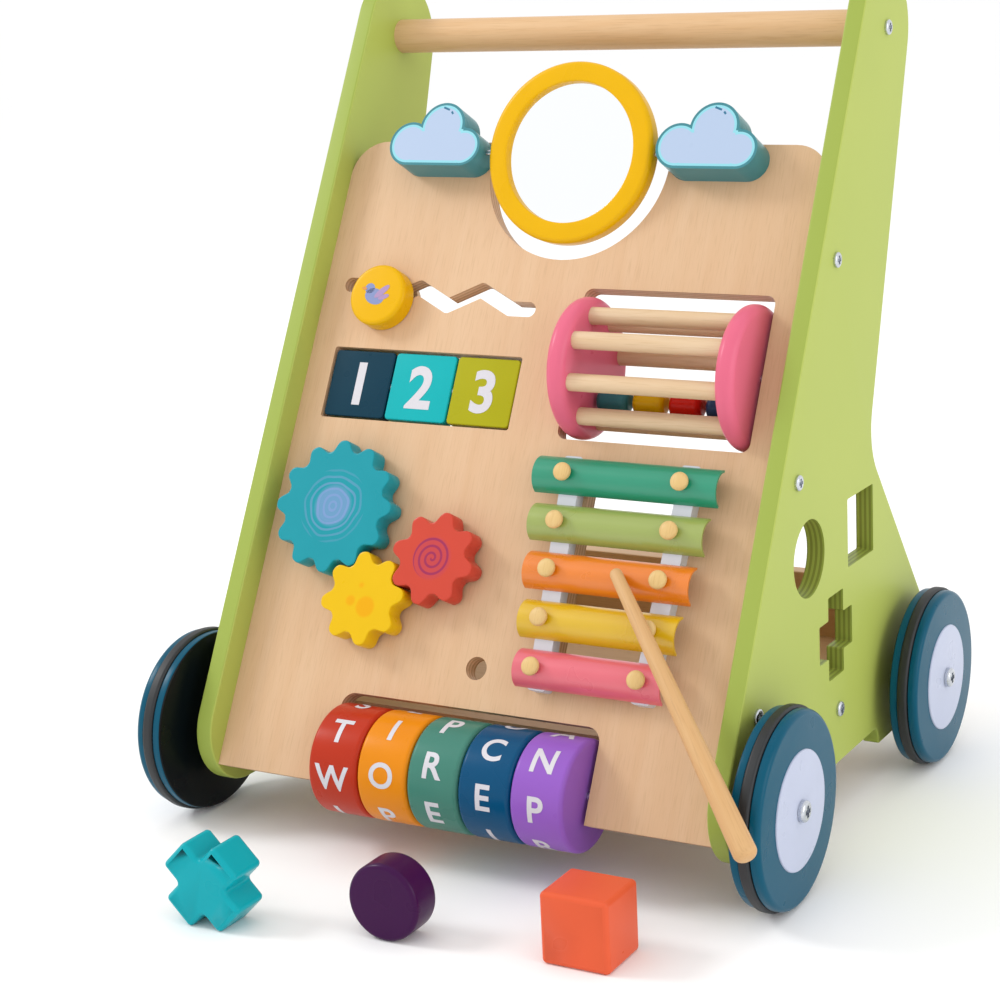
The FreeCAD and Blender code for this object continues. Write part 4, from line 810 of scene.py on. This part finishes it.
GEAR_MODULE, GEAR_HALF, GEAR_BACKLASH = 5.8 * MM, 3.0 * MM, 0.35 * MM
TO_BIG, TO_RED = math.radians(122.4), math.radians(33.7)
YELLOW_FIRST = TO_BIG + math.pi / 8
GEARS = {"gear_teal": (12, TO_BIG + math.pi, "teal_print"), "gear_yellow": (8, YELLOW_FIRST, "yellow_print"),
         "gear_red": (8, TO_RED + math.pi - (math.pi - 8 * (TO_RED - YELLOW_FIRST)) / 8, "red_print")}
gear_tree = gear_rule()
for node, (teeth, first, finish) in GEARS.items():
    centre = Matrix.Translation(JOINTS[node + "_spin"]["pos_m"]) @ Matrix.Rotation(BOARD_TURN, 4, "X")
    piece = baked(gear_tree, node + "_by_rule", {
        "Teeth": teeth, "Pitch Radius": GEAR_MODULE * teeth / 2 - GEAR_BACKLASH,
        "Tooth Half Height": GEAR_HALF,
        "Flank": 0.08, "First Tooth": first, "Thickness": GEAR_THICKNESS, "Ease": 0.9 * MM,
        "Bore Radius": 4.08 * MM, "Bore Depth": 8.0 * MM, "Finish": finishes[finish]}, centre)
    stand_in(piece, node)
    print(node, "by rule:", len(piece.data.polygons), "faces")

# %% [markdown]
# ## Dowels and pegs
# What repeats is made once and set out by rule: eight dowels on a circle round the rattle's axis, and ten
# pegs in two rows that spread towards the longer bars.  The ends are domed by a superellipse.

# %% Round the rattle and along the bars
def domed(tree, radius, length, power):
    """A round bar along Z, from 0 to its length, whose ends are domed."""
    sheet, angle, share = grid_sheet(tree, 33, 25)
    swing = add(tree, "ShaderNodeMath", {0: share, 1: math.pi, 2: -math.pi / 2}, operation="MULTIPLY_ADD")
    along = add(tree, "ShaderNodeMath", {0: swing.outputs[0]}, operation="SINE")
    size = add(tree, "ShaderNodeMath", {0: along.outputs[0]}, operation="ABSOLUTE")
    far = add(tree, "ShaderNodeMath", {0: size.outputs[0], 1: power}, operation="POWER")
    left = add(tree, "ShaderNodeMath", {0: 1.0, 1: far.outputs[0]}, operation="SUBTRACT", use_clamp=True)
    waist = add(tree, "ShaderNodeMath", {0: left.outputs[0], 1: 0.5}, operation="POWER")
    rise = add(tree, "ShaderNodeMath", {0: along.outputs[0], 1: 0.5, 2: 0.5}, operation="MULTIPLY_ADD")
    wide, height = (add(tree, "ShaderNodeMath", {0: whole, 1: part.outputs[0]},
        operation="MULTIPLY").outputs[0]
                    for whole, part in ((radius, waist), (length, rise)))
    return bend(tree, sheet, angle, wide, height)


def dowel_ring():
    tree, given = rule_tree("dowels_on_a_circle", (
        ("Int", "Count"), ("Float", "Circle"), ("Float", "First"), ("Float", "Dowel Radius"),
        ("Float", "Dowel Length"), ("Material", "Finish")))
    want = given.outputs
    circle = add(tree, "GeometryNodeMeshCircle", {"Vertices": want["Count"], "Radius": want["Circle"]})
    start = add(tree, "ShaderNodeCombineXYZ", {2: want["First"]})
    turned = add(tree, "GeometryNodeTransform", {"Geometry": circle.outputs[0], "Rotation": start.outputs[0]})
    dowel = domed(tree, want["Dowel Radius"], want["Dowel Length"], 90.0)
    copies = add(tree, "GeometryNodeInstanceOnPoints", {"Points": turned.outputs[0], "Instance": dowel})
    close_rule(tree, copies.outputs[0], want["Finish"])
    return tree


def peg_rows():
    tree, given = rule_tree("pegs_in_two_rows", (
        ("Int", "Rows"), ("Float", "Pitch"), ("Float", "Low Half"), ("Float", "High Half"),
        ("Float", "Head Radius"), ("Float", "Head Height"), ("Float", "Shank Radius"),
        ("Float", "Shank Length"), ("Material", "Finish")))
    want = given.outputs
    field = add(tree, "GeometryNodeMeshGrid", {"Size X": 2.0, "Size Y": 1.0, "Vertices X": 2,
                                               "Vertices Y": want["Rows"]})
    axes = add(tree, "ShaderNodeSeparateXYZ", {0: add(tree, "GeometryNodeInputPosition").outputs[0]})
    share = add(tree, "ShaderNodeMath", {0: axes.outputs[1], 1: 0.5}).outputs[0]
    growth = add(tree, "ShaderNodeMath", {0: want["High Half"], 1: want["Low Half"]}, operation="SUBTRACT")
    half = add(tree, "ShaderNodeMath", {0: share, 1: growth.outputs[0], 2: want["Low Half"]},
               operation="MULTIPLY_ADD")
    gaps = add(tree, "ShaderNodeMath", {0: want["Rows"], 1: 1.0}, operation="SUBTRACT")
    reach = add(tree, "ShaderNodeMath", {0: want["Pitch"], 1: gaps.outputs[0]}, operation="MULTIPLY")
    across, up = (add(tree, "ShaderNodeMath", {0: part, 1: whole.outputs[0]}, operation="MULTIPLY").outputs[0]
                  for part, whole in ((axes.outputs[0], half), (share, reach)))
    spot = add(tree, "ShaderNodeCombineXYZ", {0: across, 1: up})
    points = add(tree, "GeometryNodeSetPosition", {"Geometry": field.outputs[0], "Position": spot.outputs[0]})
    head = domed(tree, want["Head Radius"], want["Head Height"], 3.0)
    shank = domed(tree, want["Shank Radius"], want["Shank Length"], 40.0)
    depth = add(tree, "ShaderNodeMath", {0: 0.5 * MM, 1: want["Shank Length"]}, operation="SUBTRACT")
    below = add(tree, "ShaderNodeCombineXYZ", {2: depth.outputs[0]})
    lowered = add(tree, "GeometryNodeTransform", {"Geometry": shank, "Translation": below.outputs[0]})
    peg = add(tree, "GeometryNodeJoinGeometry")
    tree.links.new(head, peg.inputs[0])
    tree.links.new(lowered.outputs[0], peg.inputs[0])
    copies = add(tree, "GeometryNodeInstanceOnPoints", {"Points": points.outputs[0],
        "Instance": peg.outputs[0]})
    close_rule(tree, copies.outputs[0], want["Finish"])
    return tree


dowel_low, dowel_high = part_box("rattle_dowels")
axis_place = Vector(JOINTS["rattle_spin"]["pos_m"])
# the dowels' circle is turned so that Z of the tree runs along the walker's X
along_x = Matrix.Translation((dowel_low.x, axis_place.y, axis_place.z)) @ Matrix(
    ((0, 0, 1, 0), (OUT.y, UP.y, 0, 0), (OUT.z, UP.z, 0, 0), (0, 0, 0, 1)))
dowels = baked(dowel_ring(), "rattle_dowels_by_rule", {
    "Count": 8, "Circle": 29.4 * MM, "First": math.radians(104), "Dowel Radius": 4.8 * MM,
    "Dowel Length": dowel_high.x - dowel_low.x, "Finish": birch_rod}, along_x)
stand_in(dowels, "rattle_dowels")

PEG_SEAT = 15.3 * MM
first_pegs = BOARD @ Matrix.Translation((71.2 * MM, 115.5 * MM, PEG_SEAT))
pegs = baked(peg_rows(), "xylophone_pegs_by_rule", {
    "Rows": 5, "Pitch": 25.8 * MM, "Low Half": 30.3 * MM, "High Half": 34.1 * MM, "Head Radius": 4.9 * MM,
    "Head Height": 5.0 * MM, "Shank Radius": 2.0 * MM, "Shank Length": PEG_SEAT + 4.0 * MM,
    "Finish": peg_wood}, first_pegs)
stand_in(pegs, "xylophone_pegs")
print("dowels", len(dowels.data.polygons), "faces, pegs", len(pegs.data.polygons), "faces")

# %% [markdown]
# ## Numerals and letters
# They are printed flat, so each is a text outline filled, made a mesh, and laid a hair above the paint.
# On a roller the letter has to follow the curve: it is first cut into narrow strips across the bend,
# because a long straight edge would dive under the surface.

# %% Text to mesh
INK_HEIGHT = 0.12 * MM


def glyph(character, height, bold):
    """A flat letter in the XY plane, centred, as a bmesh."""
    curve = bpy.data.curves.new("glyph", "FONT")
    curve.body, curve.size = character, 1.0
    curve.offset, curve.resolution_u = bold, 6
    text = bpy.data.objects.new("glyph", curve)
    bpy.context.scene.collection.objects.link(text)
    bpy.context.view_layer.update()
    flat = bpy.data.meshes.new_from_object(text.evaluated_get(bpy.context.evaluated_depsgraph_get()))
    bpy.data.objects.remove(text)
    shape = bmesh.new()
    shape.from_mesh(flat)
    bpy.data.meshes.remove(flat)
    bmesh.ops.remove_doubles(shape, verts=shape.verts, dist=1e-5)
    xs, ys = [v.co.x for v in shape.verts], [v.co.y for v in shape.verts]
    middle = Vector(((min(xs) + max(xs)) / 2, (min(ys) + max(ys)) / 2, 0))
    scale = height / (max(ys) - min(ys))
    for v in shape.verts:
        v.co = (v.co - middle) * scale
    return shape


def flat_piece(name, shapes, finish, body):
    """Joins printed shapes into one piece that rides on a body."""
    whole = bmesh.new()
    for shape in shapes:
        part = bpy.data.meshes.new("part")
        shape.to_mesh(part)
        shape.free()
        whole.from_mesh(part)
        bpy.data.meshes.remove(part)
    mesh = bpy.data.meshes.new(name)
    whole.to_mesh(mesh)
    whole.free()
    mesh.materials.append(finish)
    piece = bpy.data.objects.new(name, mesh)
    bpy.context.scene.collection.objects.link(piece)
    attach(piece, body)
    return piece


# %% Numerals on the tiles
TILE_PRINT = 25 * MM
for i in (1, 2, 3):
    node = "number_tile_%d" % i
    corners = [on_board(v.co) for v in NODES[node].data.vertices]
    centre = Vector([(min(c[k] for c in corners) + max(c[k] for c in corners)) / 2 for k in range(3)])
    front = max(c.z for c in corners) + INK_HEIGHT
    shape = glyph(str(i), TILE_PRINT, 0.03)
    shape.transform(BOARD @ Matrix.Translation((centre.x, centre.y, front)))
    flat_piece("numeral_%d" % i, [shape], white_ink, BODY_OF[node])
print("numerals 1 to 3")

# %% Letters round the rollers
LETTER_HEIGHT = 14 * MM
ROLLER_LETTERS = {"red": ("WTSMAHL", 0.5), "orange": ("OIEDRAP", 11.5), "green": ("RPOASLE", 30.0),
                  "blue": ("ECUTMSI", 6.0), "purple": ("PNAEDGR", 2.0)}


def wrap(shape, axis, radius, degrees):
    """Bends a flat letter round an axis along X, centred at an angle above the level front."""
    for k in range(-8, 9):
        bmesh.ops.bisect_plane(shape, geom=shape.verts[:] + shape.edges[:] + shape.faces[:],
                               plane_co=(0, k * MM, 0), plane_no=(0, 1, 0))
    bmesh.ops.triangulate(shape, faces=shape.faces)
    for v in shape.verts:
        angle = math.radians(degrees) + v.co.y / radius
        v.co = Vector((axis.x + v.co.x, axis.y - radius * math.cos(angle), axis.z + radius * math.sin(angle)))


for name, (letters, first) in ROLLER_LETTERS.items():
    low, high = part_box("roller_" + name)
    axis = (low + high) / 2
    radius = (high.z - low.z) / 2 + INK_HEIGHT
    shapes = []
    for k, letter in enumerate(letters):
        shape = glyph(letter, LETTER_HEIGHT, 0.022)
        wrap(shape, axis, radius, first + k * 360 / len(letters))
        shapes.append(shape)
    flat_piece("letters_" + name, shapes, white_ink, "roller_%s_body" % name)
print("letters on", len(ROLLER_LETTERS), "rollers")

# %% [markdown]
# ## A bird on the slider's knob
# The knob carries a small printed bird, built from a few flat ovals: body, head, wing, tail and beak.

# %% Bird
def oval(x, y, long_half, short_half, degrees):
    """A flat filled ellipse in the XY plane, in millimetres."""
    shape = bmesh.new()
    bmesh.ops.create_circle(shape, cap_ends=True, segments=40, radius=1.0)
    turn = Matrix.Rotation(math.radians(degrees), 4, "Z")
    shape.transform(Matrix.Translation((x * MM, y * MM, 0)) @ turn @ Matrix.Diagonal(
        (long_half * MM, short_half * MM, 1, 1)))
    return shape


knob = [on_board(v.co) for v in NODES["slider_knob"].data.vertices]
knob_centre = Vector([(min(c[k] for c in knob) + max(c[k] for c in knob)) / 2 for k in range(2)] +
                     [max(c.z for c in knob)])
PRINTS = (
    ("bird_body", ink("periwinkle_screen_ink", "#8797CC"), 1,
     ((-1.0, -1.5, 6.6, 4.6, -18), (-5.0, 3.2, 3.2, 3.0, 0))),
    ("bird_wing", ink("mauve_screen_ink", "#B894C4"), 2,
     ((3.4, 1.6, 5.6, 1.9, 42), (5.2, -1.6, 3.6, 1.4, 20))),
    ("bird_beak", ink("orange_screen_ink", "#F09A2A"), 3, ((-8.6, 3.0, 1.7, 0.8, -12),)),
)
for name, finish, layer, ovals in PRINTS:
    shapes = [oval(*entry) for entry in ovals]
    lay = BOARD @ Matrix.Translation(knob_centre + Vector((0, 0, layer * INK_HEIGHT / 2)))
    for shape in shapes:
        shape.transform(lay)
    flat_piece(name, shapes, finish, BODY_OF["slider_knob"])
print("bird in", len(PRINTS), "colours")
